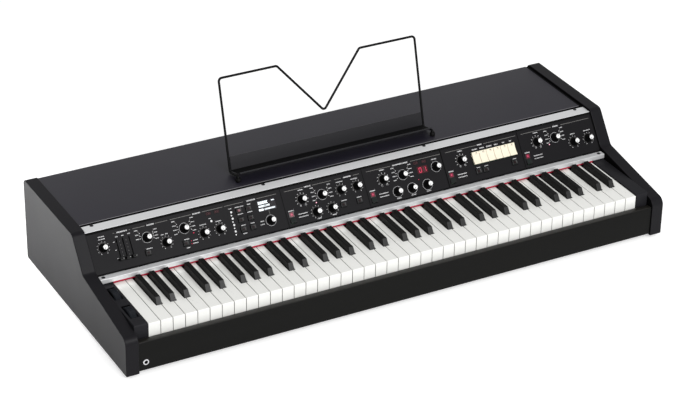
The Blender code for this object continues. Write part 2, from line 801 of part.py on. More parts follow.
def white_keys():
    """The white keys in two combs that take every other key between them."""
    for level, (name, letters) in enumerate((("white_keys_c_e_g_b", "CEGB"),
                                             ("white_keys_d_f_a", "DFA"))):
        bm = bmesh.new()
        tab_places = []
        for index in range(WHITE_COUNT):
            if white_key_letter(index) in letters:
                add_white_key(bm, index)
                rear = [x for x, y in white_key_outline(index) if y == KEY_REAR]
                tab_places.append(sum(rear) / 2)
        key_comb(name, bm, tab_places, level, ivory_plastic())


def add_black_key(bm, centre):
    """A raised, tapered key on a lower body that runs back to the fulcrum."""
    front = behind_keys(BLACK_FRONT)
    rear = behind_keys(LOWER_TRIM_FRONT) - BLACK_REAR_GAP
    tail = KEY_REAR
    bottom = KEY_TOP - SKIRT_DEPTH
    shelf = KEY_TOP - KEY_GAP
    top = KEY_TOP + BLACK_HEIGHT
    wide = BLACK_WIDTH / 2
    thin = BLACK_TOP_WIDTH / 2
    body = []
    for side in (-1, 1):
        x = centre + side * wide
        body.append([bm.verts.new((x, y, z)) for y, z in
                     ((front, bottom), (tail, bottom), (tail, shelf), (rear, shelf), (front, shelf))])
    raised = []
    for side in (-1, 1):
        x = centre + side * thin
        raised.append([bm.verts.new((x, y, top)) for y in (front + BLACK_NOSE, rear - KEY_GAP)])
    for near, far in ((0, 1), (1, 2), (2, 3), (4, 0)):
        bm.faces.new((body[0][near], body[0][far], body[1][far], body[1][near]))
    for side in (0, 1):
        low = body[side]
        high = raised[side]
        bm.faces.new(low)
        bm.faces.new((low[4], low[3], high[1], high[0]))
    bm.faces.new((body[0][4], body[1][4], raised[1][0], raised[0][0]))
    bm.faces.new((body[0][3], body[1][3], raised[1][1], raised[0][1]))
    bm.faces.new((raised[0][0], raised[1][0], raised[1][1], raised[0][1]))


def black_keys():
    centres = [black_key_centre(index) for index in range(WHITE_COUNT)]
    centres = [centre for centre in centres if centre is not None]
    bm = bmesh.new()
    for centre in centres:
        add_black_key(bm, centre)
    key_comb("black_keys", bm, centres, 2, ebony_plastic())


def block_profile():
    """Side view of a key block, with a seat for the lower trim and room for the jack."""
    front = KEY_FRONT
    trim = behind_keys(LOWER_TRIM_FRONT) - FIT
    rear = behind_keys(LOWER_TRIM_FRONT + LOWER_TRIM_DEPTH) + BLOCK_BEHIND_TRIM
    low = BOARD_TOP + FIT
    seat = TRIM_BOTTOM - FIT
    return rounded((
        ((front, BLOCK_NOTCH_TOP), 0),
        ((front, BLOCK_TOP), BLOCK_EDGE),
        ((trim, BLOCK_TOP), 0),
        ((trim, seat), 0),
        ((rear, seat), 0),
        ((rear, low), 0),
        ((front + BLOCK_NOTCH_DEPTH, low), 0),
        ((front + BLOCK_NOTCH_DEPTH, BLOCK_NOTCH_TOP), 0),
    ))


def wheel_places():
    """Centre of each wheel: pitch behind, modulation in front."""
    x = -(INNER_HALF - FIT - BLOCK_WIDTH / 2)
    z = BLOCK_TOP + WHEEL_PROUD - WHEEL_RADIUS
    well = WHEEL_RADIUS + WELL_GAP
    mod_y = behind_keys(WELL_FRONT_WALL + well)
    pitch_y = mod_y + 2 * well + WELL_WALL
    return {"pitch_wheel": Vector((x, pitch_y, z)), "mod_wheel": Vector((x, mod_y, z))}


def key_blocks():
    inner = INNER_HALF - FIT
    bm = bmesh.new()
    add_prism(bm, block_profile(), inner - BLOCK_WIDTH, inner)
    add_object("right_key_block", bm, black_plastic())
    bm = bmesh.new()
    add_prism(bm, block_profile(), -inner, -inner + BLOCK_WIDTH)
    block = add_object("left_key_block", bm, black_plastic())
    wells = bmesh.new()
    axles = bmesh.new()
    half = WHEEL_WIDTH / 2 + WHEEL_SIDE_GAP
    along_x = Matrix.Rotation(math.pi / 2, 3, "Y")
    for centre in wheel_places().values():
        add_cylinder(wells, WHEEL_RADIUS + WELL_GAP, -half, half, WELL_SIDES, centre, along_x)
        reach = (half + BLOCK_WIDTH / 2) / 2
        add_cylinder(axles, AXLE_RADIUS, -reach, reach, 12, centre, along_x)
    modify(block, add_object("wheel_wells", wells, black_plastic()), "DIFFERENCE")
    modify(block, add_object("wheel_axles", axles, black_plastic()), "UNION")


def wheels():
    along_x = Matrix.Rotation(math.pi / 2, 3, "Y")
    half = WHEEL_WIDTH / 2
    bore = (AXLE_RADIUS + FIT) / math.cos(math.pi / 12)
    for name, centre in wheel_places().items():
        bm = bmesh.new()
        add_turned(bm, ((WHEEL_RADIUS - WHEEL_EDGE, -half), (WHEEL_RADIUS, -half + WHEEL_EDGE),
                        (WHEEL_RADIUS, half - WHEEL_EDGE), (WHEEL_RADIUS - WHEEL_EDGE, half)),
                   28, centre, along_x)
        wheel = add_object(name, bm, black_plastic(), origin=centre, smooth=True)
        bm = bmesh.new()
        add_cylinder(bm, bore, -WHEEL_WIDTH, WHEEL_WIDTH, 12, centre, along_x)
        modify(wheel, add_object(name + "_bore", bm, black_plastic()), "DIFFERENCE")


def along_panel(section, share):
    """World x of a share of the width of one of the panel's sections."""
    if section == 0:
        return -PANEL_HALF + share * (MODULE_LEFT + PANEL_HALF)
    return MODULE_LEFT + (section - 1 + share) * MODULE_PITCH


def knob_places():
    return [(name, along_panel(section, share), KNOB_ROWS[row]) for name, section, share, row in KNOBS]


def button_places():
    return [(along_panel(section, share), up) for section, share, up in BUTTONS]


def slider_places():
    return [along_panel(section, share) for section, share in SLIDERS]


def window_places():
    """Middle, width and length of the display windows."""
    return [(along_panel(section, share), up, width, length)
            for section, share, up, width, length in (MENU_WINDOW, DIGIT_WINDOW)]


def rocker_places():
    return [MODULE_LEFT + i * MODULE_PITCH + ROCKER_PLACE for i in range(MODULE_COUNT)]


def tab_places():
    left = along_panel(*TAB_MIDDLE) - TAB_COUNT * TAB_PITCH / 2
    return [left + (i + 0.5) * TAB_PITCH for i in range(TAB_COUNT)]


def panel_openings():
    """All holes of the panel plate, in the panel's own axes."""
    bm = bmesh.new()
    low = -2 * PLATE_THICK
    high = PLATE_THICK
    for name, x, up in knob_places():
        add_cylinder(bm, SHAFT_RADIUS + 2 * RUN, low, high, 10, (x, up, 0))
    boxes = [(x, up, BUTTON_WIDTH, BUTTON_LENGTH) for x, up in button_places()]
    for x in rocker_places():
        boxes.append((x, ROCKER_HEIGHT_ON_PANEL, ROCKER_WIDTH, ROCKER_LENGTH + 2 * RUN))
    boxes.append((along_panel(*TAB_MIDDLE), TAB_LOW + TAB_LENGTH / 2,
                  TAB_COUNT * TAB_PITCH, TAB_LENGTH + 2 * RUN))
    for x, up, width, length in window_places():
        boxes.append((x, up, width - 2 * RUN + 2 * FIT, length - 2 * RUN + 2 * FIT))
    for x in slider_places():
        middle = SLIDER_LOW + SLIDER_TRAVEL / 2
        boxes.append((x, middle, SLIDER_SLOT - 2 * RUN, SLIDER_TRAVEL + SLIDER_CAP[1]))
    for x, up, width, length in boxes:
        half_x = width / 2 + RUN
        half_y = length / 2 + RUN
        add_box(bm, (x - half_x, up - half_y, low), (x + half_x, up + half_y, high))
    for i in range(MODULE_COUNT):
        seam = MODULE_LEFT + i * MODULE_PITCH
        add_box(bm, (seam - SEAM, -PLATE_LOW, -SEAM), (seam, PANEL_LENGTH, high))
    return bm


def control_plate():
    bm = bmesh.new()
    half = INNER_HALF - FIT
    add_box(bm, (-half, PLATE_LOW, -PLATE_THICK), (half, PANEL_LENGTH - PLATE_TOP_GAP, 0))
    plate = on_panel(add_object("control_plate", bm, black_sheet()), (0, 0, 0))
    tool = on_panel(add_object("panel_openings", panel_openings(), black_sheet()), (0, 0, 0))
    modify(plate, tool, "DIFFERENCE")


def add_board_part(parts, x, up, half_x, half_y, top):
    """A block that stands on the circuit board and ends at a height under the panel's face."""
    foot = -BOARD_SETBACK - PCB_THICK / 2
    add_box(parts, (x - half_x, up - half_y, foot), (x + half_x, up + half_y, top))


def control_board():
    """The circuit board behind the plate, with its shafts, switches and display modules."""
    bm = bmesh.new()
    half = INNER_HALF - PCB_MARGIN
    add_box(bm, (-half, PCB_MARGIN, -BOARD_SETBACK - PCB_THICK),
            (half, PANEL_LENGTH - PCB_MARGIN, -BOARD_SETBACK))
    boards = on_panel(add_object("control_board", bm, green_board()), (0, 0, 0))
    parts = bmesh.new()
    foot = -BOARD_SETBACK - PCB_THICK / 2
    shoulder = -PLATE_THICK - FIT
    for name, x, up in knob_places():
        add_turned(parts, ((POT_RADIUS, foot), (POT_RADIUS, shoulder), (SHAFT_RADIUS, shoulder),
                           (SHAFT_RADIUS, SHAFT_HEIGHT)), SHAFT_SIDES, (x, up, 0))
    for x, up in button_places():
        half = SWITCH_WIDTH / 2
        add_board_part(parts, x, up, half, half, -BUTTON_STEM - SWITCH_GAP)
    for x in rocker_places():
        top = -ROCKER_AXIS_DEPTH - ROCKER_KEEL - RUN
        add_board_part(parts, x, ROCKER_HEIGHT_ON_PANEL, ROCKER_WIDTH / 2, ROCKER_BLOCK / 2, top)
    for x in slider_places():
        middle = SLIDER_LOW + SLIDER_TRAVEL / 2
        half_y = SLIDER_TRAVEL / 2 + SLIDER_CAP[1]
        add_board_part(parts, x, middle, SLIDER_BODY_WIDTH / 2, half_y, -BOARD_SETBACK + SLIDER_BODY_HEIGHT)
    for x, up, width, length in window_places():
        add_board_part(parts, x, up, width / 2, length / 2, -FIT)
    thick, deep = TAB_POST
    reach = TAB_COUNT * TAB_PITCH / 2 + 2 * RUN + thick / 2
    middle = along_panel(*TAB_MIDDLE)
    for x in (middle - reach, middle + reach):
        add_board_part(parts, x, TAB_AXIS_UP, thick / 2, deep / 2, -PLATE_THICK - FIT)
    modify(boards, on_panel(add_object("board_parts", parts, green_board()), (0, 0, 0)), "UNION")
    rod = bmesh.new()
    along_x = Matrix.Rotation(math.pi / 2, 3, "Y")
    add_cylinder(rod, TAB_ROD_RADIUS, -reach, reach, 8, (middle, TAB_AXIS_UP, -TAB_ROD_DEPTH), along_x)
    modify(boards, on_panel(add_object("tab_rod", rod, green_board()), (0, 0, 0)), "UNION")


def knobs():
    """Twenty-four equal knobs, each pushed onto its own shaft."""
    bore = (SHAFT_RADIUS + FIT) / math.cos(math.pi / SHAFT_SIDES)
    profile = (
        (KNOB_SKIRT_RADIUS, KNOB_CLEAR),
        (KNOB_SKIRT_RADIUS, KNOB_CLEAR + KNOB_SKIRT_HEIGHT),
        (KNOB_BODY_RADIUS, KNOB_CLEAR + KNOB_SKIRT_HEIGHT + KNOB_SHOULDER),
        (KNOB_CAP_RADIUS + KNOB_CROWN_EDGE, KNOB_HEIGHT - KNOB_CROWN_HEIGHT),
        (KNOB_CAP_RADIUS, KNOB_HEIGHT),
    )
    for name, x, up in knob_places():
        bm = bmesh.new()
        add_turned(bm, profile, KNOB_SIDES, (0, 0, 0))
        knob = add_object(name, bm, black_plastic(), smooth=True)
        on_panel(knob, (x, up, 0))
        bm = bmesh.new()
        add_cylinder(bm, bore, -KNOB_CLEAR, SHAFT_HEIGHT + FIT, SHAFT_SIDES, (0, 0, 0))
        tool = add_object(name + "_bore", bm, black_plastic())
        modify(knob, on_panel(tool, (x, up, 0)), "DIFFERENCE")


def push_buttons():
    """Square buttons on a carrier: a strip behind the plate's lower edge and a rib to each."""
    bm = bmesh.new()
    places = button_places()
    for x, up in places:
        half_x = BUTTON_WIDTH / 2
        half_y = BUTTON_LENGTH / 2
        add_box(bm, (x - half_x, up - half_y, -BUTTON_STEM), (x + half_x, up + half_y, BUTTON_PROUD))
    buttons = on_panel(add_object("push_buttons", bm, black_plastic()), (0, 0, 0))
    ribs = bmesh.new()
    low = -BUTTON_STEM + FIT
    columns = {}
    for x, up in places:
        columns[x] = max(up, columns.get(x, 0))
    for x, top in columns.items():
        add_box(ribs, (x - CARRIER_RIB / 2, CARRIER_LOW + CARRIER_WIDTH / 2, low),
                (x + CARRIER_RIB / 2, top, low + CARRIER_THICK - FIT))
    modify(buttons, on_panel(add_object("carrier_ribs", ribs, black_plastic()), (0, 0, 0)), "UNION")
    strip = bmesh.new()
    left = min(columns) - CARRIER_RIB
    right = max(columns) + CARRIER_RIB
    add_box(strip, (left, CARRIER_LOW, low - FIT),
            (right, CARRIER_LOW + CARRIER_WIDTH, low + CARRIER_THICK))
    modify(buttons, on_panel(add_object("carrier_strip", strip, black_plastic()), (0, 0, 0)), "UNION")


def module_rockers():
    """Rocker switches with a shallow V face, drawn with the upper half pressed."""
    half = ROCKER_LENGTH / 2
    tilt = math.radians(ROCKER_TILT)
    end = ROCKER_RISE + half * math.tan(tilt)
    flat = ((-half, end), (-half, -ROCKER_SKIRT), (-half * 0.6, -ROCKER_KEEL),
            (half * 0.6, -ROCKER_KEEL), (half, -ROCKER_SKIRT), (half, end), (0, ROCKER_RISE))
    turned = [(u * math.cos(tilt) + v * math.sin(tilt), v * math.cos(tilt) - u * math.sin(tilt))
              for u, v in flat]
    for number, x in enumerate(rocker_places(), 1):
        bm = bmesh.new()
        add_prism(bm, turned, -ROCKER_WIDTH / 2, ROCKER_WIDTH / 2)
        item = add_object("module_rocker_" + str(number), bm, black_plastic())
        on_panel(item, (x, ROCKER_HEIGHT_ON_PANEL, -ROCKER_AXIS_DEPTH))


def tab_switches():
    """Six cream rocker tabs, joined by a bar, that rock on one rod."""
    low = TAB_LOW - TAB_AXIS_UP
    high = low + TAB_LENGTH
    face = TAB_PROUD + TAB_ROD_DEPTH
    under = face - TAB_THICK
    foot = TAB_ROD_RADIUS + RUN
    root = TAB_FOOT / 2 + RUN
    profile = ((low, face + TAB_RISE), (low, under), (-root, under), (-TAB_FOOT / 2, foot),
               (TAB_FOOT / 2, foot), (root, under), (high, under), (high, face))
    bm = bmesh.new()
    for x in tab_places():
        half = TAB_PITCH / 2 - FIT
        add_prism(bm, profile, x - half, x + half)
    item = add_object("tab_switches", bm, cream_plastic())
    on_panel(item, (0, TAB_AXIS_UP, -TAB_ROD_DEPTH))
    places = tab_places()
    bar = bmesh.new()
    add_box(bar, (places[0], -TAB_BAR / 2, foot + RUN), (places[-1], TAB_BAR / 2, under + RUN))
    tool = on_panel(add_object("tab_bar", bar, cream_plastic()), (0, TAB_AXIS_UP, -TAB_ROD_DEPTH))
    modify(item, tool, "UNION")


def slider_caps():
    """Three slider caps at the lower end of their slots, joined by a bar behind the plate."""
    width, length, height = SLIDER_CAP
    stem_low = -BOARD_SETBACK + SLIDER_BODY_HEIGHT + RUN
    places = slider_places()
    bm = bmesh.new()
    for x in places:
        half = width / 2
        stem = SLIDER_STEM / 2
        corners = ((-stem, stem_low), (stem, stem_low), (stem, FIT), (half, FIT),
                   (half * 0.8, height), (-half * 0.8, height), (-half, FIT), (-stem, FIT))
        ends = []
        for y in (-length / 2, length / 2):
            ends.append([bm.verts.new((x + u, y, v)) for u, v in corners])
        bm.faces.new(ends[0])
        bm.faces.new(ends[1][::-1])
        for i in range(len(corners)):
            k = (i + 1) % len(corners)
            bm.faces.new((ends[0][i], ends[1][i], ends[1][k], ends[0][k]))
    caps = on_panel(add_object("slider_caps", bm, black_plastic()), (0, SLIDER_LOW, 0))
    bar = bmesh.new()
    reach = SLIDER_STEM
    add_box(bar, (places[0] - reach, -length / 4, stem_low + FIT),
            (places[-1] + reach, length / 4, -PLATE_THICK - RUN))
    modify(caps, on_panel(add_object("slider_bar", bar, black_plastic()), (0, SLIDER_LOW, 0)), "UNION")


def rear_connectors():
    """Connector plate inside the rear opening, with its sockets fused on and bored."""
    length, height = REAR_OPENING
    outside = REAR_INSIDE - FIT
    half_z = height / 2 + CONNECTOR_MARGIN
    bm = bmesh.new()
    add_box(bm, (REAR_LEFT - CONNECTOR_MARGIN, outside - SHEET, REAR_ROW_HEIGHT - half_z),
            (REAR_LEFT + length + CONNECTOR_MARGIN, outside, REAR_ROW_HEIGHT + half_z))
    plate = add_object("rear_connectors", bm, steel())
    bodies = bmesh.new()
    bores = bmesh.new()
    back = Matrix.Rotation(-math.pi / 2, 3, "X")
    for x in JACK_PLACES:
        place = (REAR_LEFT + x, outside, REAR_ROW_HEIGHT)
        add_cylinder(bodies, JACK_RADIUS, -CONNECTOR_DEPTH, JACK_PROUD, 12, place, back)
        add_cylinder(bores, JACK_BORE, -CONNECTOR_DEPTH + SHEET, JACK_PROUD * 2, 12, place, back)
    for x in DIN_PLACES:
        place = (REAR_LEFT + x, outside, REAR_ROW_HEIGHT)
        add_cylinder(bodies, DIN_RADIUS, -CONNECTOR_DEPTH, JACK_PROUD, 16, place, back)
        add_cylinder(bores, DIN_BORE, -DIN_DEPTH, JACK_PROUD * 2, 16, place, back)
    power = (POWER_PLACE, POWER_WIDTH + 2 * RUN, 2 * (POWER_RADIUS + RUN))
    for place, depth, wall in ((USB_PLACE, DIN_DEPTH, INLET_WALL),
                               (INLET_PLACE, INLET_DEPTH, INLET_WALL),
                               (power, POWER_RADIUS + RUN, SHEET)):
        x = REAR_LEFT + place[0]
        half_x, half_z = place[1] / 2, place[2] / 2
        add_box(bodies,
                (x - half_x - wall, outside - CONNECTOR_DEPTH, REAR_ROW_HEIGHT - half_z - wall),
                (x + half_x + wall, outside + JACK_PROUD, REAR_ROW_HEIGHT + half_z + wall))
        add_box(bores, (x - half_x, outside - depth, REAR_ROW_HEIGHT - half_z),
                (x + half_x, outside + JACK_PROUD * 2, REAR_ROW_HEIGHT + half_z))
    modify(plate, add_object("socket_bodies", bodies, steel()), "UNION")
    modify(plate, add_object("socket_bores", bores, steel()), "DIFFERENCE")


def power_switch():
    """Rocker in the rear plate: a round back in its housing and a V face, pressed above."""
    outside = REAR_INSIDE - FIT
    tilt = math.radians(POWER_TILT)
    back = [math.radians(a) for a in range(180, 361, 20)]
    flat = [(POWER_RADIUS * math.cos(a), POWER_RADIUS * math.sin(a)) for a in back]
    end = POWER_RADIUS * math.sin(tilt)
    reach = POWER_RADIUS * math.cos(tilt)
    flat += [(reach, end), (0, POWER_RISE), (-reach, end)]
    turned = [(v * math.cos(tilt) - u * math.sin(tilt), u * math.cos(tilt) + v * math.sin(tilt))
              for u, v in flat]
    profile = [(outside + y, REAR_ROW_HEIGHT + z) for y, z in turned]
    x = REAR_LEFT + POWER_PLACE
    bm = bmesh.new()
    add_prism(bm, profile, x - POWER_WIDTH / 2, x + POWER_WIDTH / 2)
    axis = (x, outside, REAR_ROW_HEIGHT)
    add_object("power_switch", bm, black_plastic(), origin=axis)


def power_supply():
    width, depth, height = SUPPLY_SIZE
    x = REAR_LEFT + SUPPLY_PLACE
    rear = REAR_INSIDE - SUPPLY_REAR_GAP
    low = BOARD_TOP + FIT
    bm = bmesh.new()
    add_box(bm, (x - width / 2, rear - depth, low), (x + width / 2, rear, low + height))
    add_object("power_supply", bm, steel())


def stand_point(x, along):
    """A point of the stand's leaning frame: along is measured up from the rear bends."""
    lean = math.radians(STAND_LEAN)
    base_y = behind_keys(STAND_FROM_KEYS)
    base_z = LID_TOP + FIT + WIRE_RADIUS
    return Vector((x, base_y + along * math.sin(lean), base_z + along * math.cos(lean)))


def stand_path():
    """Centre line of the bent wire, from the left plug over the top to the right plug."""
    half = STAND_WIDTH / 2
    run = half - STAND_TOP_RUN
    arm_y = behind_keys(STAND_FROM_KEYS - STAND_ARM)
    base = LID_TOP + FIT + WIRE_RADIUS
    corners = []
    for side in (-1, 1):
        x = side * half
        plug = [
            (Vector((x, arm_y, LID_TOP + SHEET / 2 + RUN)), 0),
            (Vector((x, arm_y, base + STAND_ARM_RISE)), STAND_PLUG_BEND),
            (stand_point(x, 0), STAND_BEND),
            (stand_point(x, STAND_HEIGHT), STAND_CORNER),
            (stand_point(side * run, STAND_HEIGHT), STAND_NOTCH_CORNER),
        ]
        if side < 0:
            corners += plug + [(stand_point(0, STAND_NOTCH_HEIGHT), STAND_NOTCH_CORNER)]
        else:
            corners += plug[::-1]
    return rounded(corners, steps=4, closed=False)


def music_stand_frame():
    curve = bpy.data.curves.new("music_stand_frame", "CURVE")
    curve.dimensions = "3D"
    curve.bevel_depth = WIRE_RADIUS
    curve.bevel_resolution = 2
    curve.use_fill_caps = True
    points = stand_path()
    spline = curve.splines.new("POLY")
    spline.points.add(len(points) - 1)
    for target, point in zip(spline.points, points):
        target.co = (*point, 1.0)
    curve.materials.append(black_sheet())
    item = bpy.data.objects.new("music_stand_frame", curve)
    bpy.context.scene.collection.objects.link(item)


def music_stand_shelf():
    """Folded sheet between the wire's legs: low back, shelf and a turned-up front lip."""
    lean = math.radians(STAND_LEAN)
    corner = stand_point(0, WIRE_RADIUS)
    up = Vector((math.sin(lean), math.cos(lean)))
    forward = Vector((-math.cos(lean), math.sin(lean)))
    start = Vector((corner.y, corner.z))
    sheet = SHELF_SHEET
    profile = [
        start,
        start + up * SHELF_BACK,
        start + up * SHELF_BACK + forward * sheet,
        start + up * sheet + forward * sheet,
        start + up * sheet + forward * (SHELF_DEPTH - sheet),
        start + up * SHELF_LIP + forward * (SHELF_DEPTH - sheet),
        start + up * SHELF_LIP + forward * SHELF_DEPTH,
        start + forward * SHELF_DEPTH,
    ]
    half = STAND_WIDTH / 2 - WIRE_RADIUS - FIT
    bm = bmesh.new()
    add_prism(bm, profile, -half, half)
    add_object("music_stand_shelf", bm, black_sheet())


def build():
    clear_scene()
    panel_empty()
    side_panels()
    bottom_board()
    front_rail()
    headphone_socket()
    rear_panel()
    top_cover()
    trim_bars()
    key_felt()
    rubber_feet()
    key_frame()
    white_keys()
    black_keys()
    key_blocks()
    wheels()
    control_plate()
    control_board()
    knobs()
    push_buttons()
    module_rockers()
    tab_switches()
    slider_caps()
    rear_connectors()
    power_switch()
    power_supply()
    music_stand_frame()
    music_stand_shelf()


build()
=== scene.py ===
import json
import math
import random

import bmesh
import bpy
from mathutils import Matrix, Vector


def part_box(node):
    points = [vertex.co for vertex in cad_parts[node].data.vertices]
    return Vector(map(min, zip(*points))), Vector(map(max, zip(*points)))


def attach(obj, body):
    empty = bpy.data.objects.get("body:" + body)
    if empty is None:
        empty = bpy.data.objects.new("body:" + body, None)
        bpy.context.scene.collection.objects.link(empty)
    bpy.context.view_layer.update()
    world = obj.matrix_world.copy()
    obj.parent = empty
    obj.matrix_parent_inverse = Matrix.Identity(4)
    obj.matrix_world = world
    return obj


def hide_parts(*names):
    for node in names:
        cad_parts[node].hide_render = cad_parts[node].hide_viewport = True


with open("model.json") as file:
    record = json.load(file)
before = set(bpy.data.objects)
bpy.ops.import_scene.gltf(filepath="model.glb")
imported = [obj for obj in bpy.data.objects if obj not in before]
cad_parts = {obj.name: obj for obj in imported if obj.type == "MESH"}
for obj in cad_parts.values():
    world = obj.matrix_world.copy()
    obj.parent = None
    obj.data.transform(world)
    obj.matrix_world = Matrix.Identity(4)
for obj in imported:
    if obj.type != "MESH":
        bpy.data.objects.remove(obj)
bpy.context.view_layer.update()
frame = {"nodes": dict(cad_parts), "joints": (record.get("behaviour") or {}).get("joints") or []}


# Side panels
# Two cheeks of dense board, 25 mm thick, sprayed satin black; their inner faces carry a near-black
# matt coat as painted shade.
# Their outline is routed in one pass and the edges are eased; they are screwed on from inside.
side_slope = math.radians(9.7)       # top edge beside the keys
panel_slope = math.radians(53.9)     # control panel against the floor
side_front_height = 0.074
side_proud_of_panel = 0.003
side_corner_radii = {"nose": 0.016, "hollow": 0.010, "shoulder": 0.012, "rear": 0.010}
side_foot_chamfer = 0.004
side_edge = 0.0014


def arc_corner(before, corner, after, radius, steps):
    """The points of an arc that rounds one corner of an outline."""
    before, corner, after = Vector(before), Vector(corner), Vector(after)
    back = (before - corner).normalized()
    ahead = (after - corner).normalized()
    half = back.angle(ahead) / 2
    centre = corner + (back + ahead).normalized() * (radius / math.sin(half))
    start = corner + back * (radius / math.tan(half)) - centre
    end = corner + ahead * (radius / math.tan(half)) - centre
    sweep = start.angle(end)
    return [centre + (start * math.sin((1 - i / steps) * sweep) + end * math.sin(i / steps * sweep))
            / math.sin(sweep) for i in range(steps + 1)]


def soft_outline(corners, steps=12, closed=True):
    """An outline given as (point, radius) pairs, with an arc at every corner that has a radius."""
    points = []
    for i, (corner, radius) in enumerate(corners):
        if radius and (closed or 0 < i < len(corners) - 1):
            after = corners[(i + 1) % len(corners)][0]
            points += arc_corner(corners[i - 1][0], corner, after, radius, steps)
        else:
            points.append(Vector(corner))
    return points


def piece(name, bm, coats, edge=0.0, segments=3, keen=38):
    """An object from a bmesh: smooth where it is round, and with its sharp edges eased."""
    bmesh.ops.recalc_face_normals(bm, faces=bm.faces)
    mesh = bpy.data.meshes.new(name)
    bm.to_mesh(mesh)
    bm.free()
    for coat in coats if isinstance(coats, list) else [coats]:
        mesh.materials.append(coat)
    made = bpy.data.objects.new(name, mesh)
    bpy.context.scene.collection.objects.link(made)
    mesh.shade_smooth()
    mesh.set_sharp_from_angle(angle=math.radians(keen))
    if edge:
        ease = made.modifiers.new("eased_edges", "BEVEL")
        ease.width = edge
        ease.segments = segments
        ease.limit_method = "ANGLE"
        ease.angle_limit = math.radians(keen)
        ease.harden_normals = True
    return made


def bridge(bm, rings):
    """The bands of faces between rings that follow each other and have as many corners."""
    return [[bm.faces.new((low[i - 1], low[i], high[i], high[i - 1]))
             for i in (*range(1, len(low)), 0)] for low, high in zip(rings, rings[1:])]


def drawn_along_x(bm, outline, x_low, x_high, material_index=0):
    """Adds an outline of (y, z) points drawn out along the keyboard."""
    ends = [[bm.verts.new((x, p[0], p[1])) for p in outline] for x in (x_low, x_high)]
    faces = [bm.faces.new(ends[0]), bm.faces.new(ends[1][::-1])]
    for i in range(len(outline)):
        k = (i + 1) % len(outline)
        faces.append(bm.faces.new((ends[0][i], ends[1][i], ends[1][k], ends[0][k])))
    for face in faces:
        face.material_index = material_index
    return faces


def fit_out(made, body, slot, *nodes):
    """Rides on its body and stands for the nodes it replaces; its slot is not used."""
    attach(made, body)
    if nodes:
        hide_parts(*nodes)
    return made


def put(name, bm, coats, body, slot, *nodes, **look):
    """A piece built from a bmesh and fitted out."""
    return fit_out(piece(name, bm, coats, **look), body, slot, *nodes)


def add_node(tree, kind, inputs, **settings):
    """A shader node whose inputs are set to values or joined to other nodes' outputs."""
    made = tree.nodes.new("ShaderNode" + kind)
    for key, value in settings.items():
        setattr(made, key, value)
    for key, value in inputs.items():
        if isinstance(value, bpy.types.NodeSocket):
            tree.links.new(value, made.inputs[key])
        else:
            made.inputs[key].default_value = value
    return made


def finish(name, colour, rough, metal=0.0, grain=900.0, bump=0.04, mottle=0.10, patch=14.0,
           rough_play=0.06, stretch=(1, 1, 1), coat=0.0, deep=0.0002, gloss=0.5):
    """A material with a fine grain in its surface and slow drifts in its colour and gloss."""
    made = bpy.data.materials.new(name)
    made.use_nodes = True
    made.diffuse_color = (*colour, 1)
    tree = made.node_tree
    shader = tree.nodes["Principled BSDF"].inputs
    for key, value in (("Metallic", metal), ("Coat Weight", coat), ("Coat Roughness", 0.12),
                       ("Specular IOR Level", gloss)):
        shader[key].default_value = value
    place = add_node(tree, "TexCoord", {}).outputs["Object"]
    drawn = add_node(tree, "Mapping", {"Vector": place, "Scale": stretch}).outputs["Vector"]
    fine, broad = (add_node(tree, "TexNoise", {"Vector": vector, "Scale": scale, "Detail": detail})
                   .outputs["Fac"]
                   for vector, scale, detail in ((drawn, grain, 4.0), (place, patch, 3.0)))
    relief = add_node(tree, "Bump", {"Height": fine, "Strength": bump, "Distance": deep})
    dullness = add_node(tree, "MapRange", {"Value": broad, "To Min": max(rough - rough_play, 0.02),
                                           "To Max": rough + rough_play})
    half = add_node(tree, "Math", {0: broad, 1: 0.5}, operation="MULTIPLY")
    blend = add_node(tree, "Math", {0: fine, 1: 0.5, 2: half.outputs["Value"]},
                     operation="MULTIPLY_ADD")
    tint = add_node(tree, "Mix", {"Factor": blend.outputs["Value"],
                                  "A": (*[c * (1 - mottle) for c in colour], 1),
                                  "B": (*[min(c * (1 + mottle), 1) for c in colour], 1)},
                    data_type="RGBA")
    tree.links.new(relief.outputs["Normal"], shader["Normal"])
    tree.links.new(dullness.outputs["Result"], shader["Roughness"])
    tree.links.new(tint.outputs["Result"], shader["Base Color"])
    return made


side_lacquer = finish("satin_black_lacquer", (0.0084, 0.0080, 0.0097), 0.42, grain=420, bump=0.10,
                      mottle=0.16, patch=9, rough_play=0.05, gloss=0.10)
inner_face_shade = finish("black_stained_board", (0.0016, 0.0016, 0.0018), 0.85, grain=260, bump=0.20,
                     mottle=0.20, patch=12, gloss=0.05)

trim_low, trim_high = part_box("lower_trim_bar")
screw_head_height = 0.0012
panel_front_gap = 0.0012
hair = 0.00002                       # the least gap between a face and one laid over it
panel_origin = Vector((0, trim_high.y + panel_front_gap, trim_high.z - screw_head_height))


def side_outline(low, high):
    """A cheek seen from its end, worked out from its node's corners and the panel's plane."""
    face_y = panel_origin.y - side_proud_of_panel * math.sin(panel_slope)
    face_z = panel_origin.z + side_proud_of_panel * math.cos(panel_slope)
    nose_z = low.z + side_front_height
    rise, lean = math.tan(side_slope), math.tan(panel_slope)
    hollow_y = (nose_z - face_z + lean * face_y - rise * low.y) / (lean - rise)
    return soft_outline((
        ((low.y, low.z), 0),
        ((low.y, nose_z), side_corner_radii["nose"]),
        ((hollow_y, nose_z + rise * (hollow_y - low.y)), side_corner_radii["hollow"]),
        ((face_y + (high.z - face_z) / lean, high.z), side_corner_radii["shoulder"]),
        ((high.y, high.z), side_corner_radii["rear"]),
        ((high.y, low.z + side_foot_chamfer), 0),
        ((high.y - side_foot_chamfer, low.z), 0),
    ))


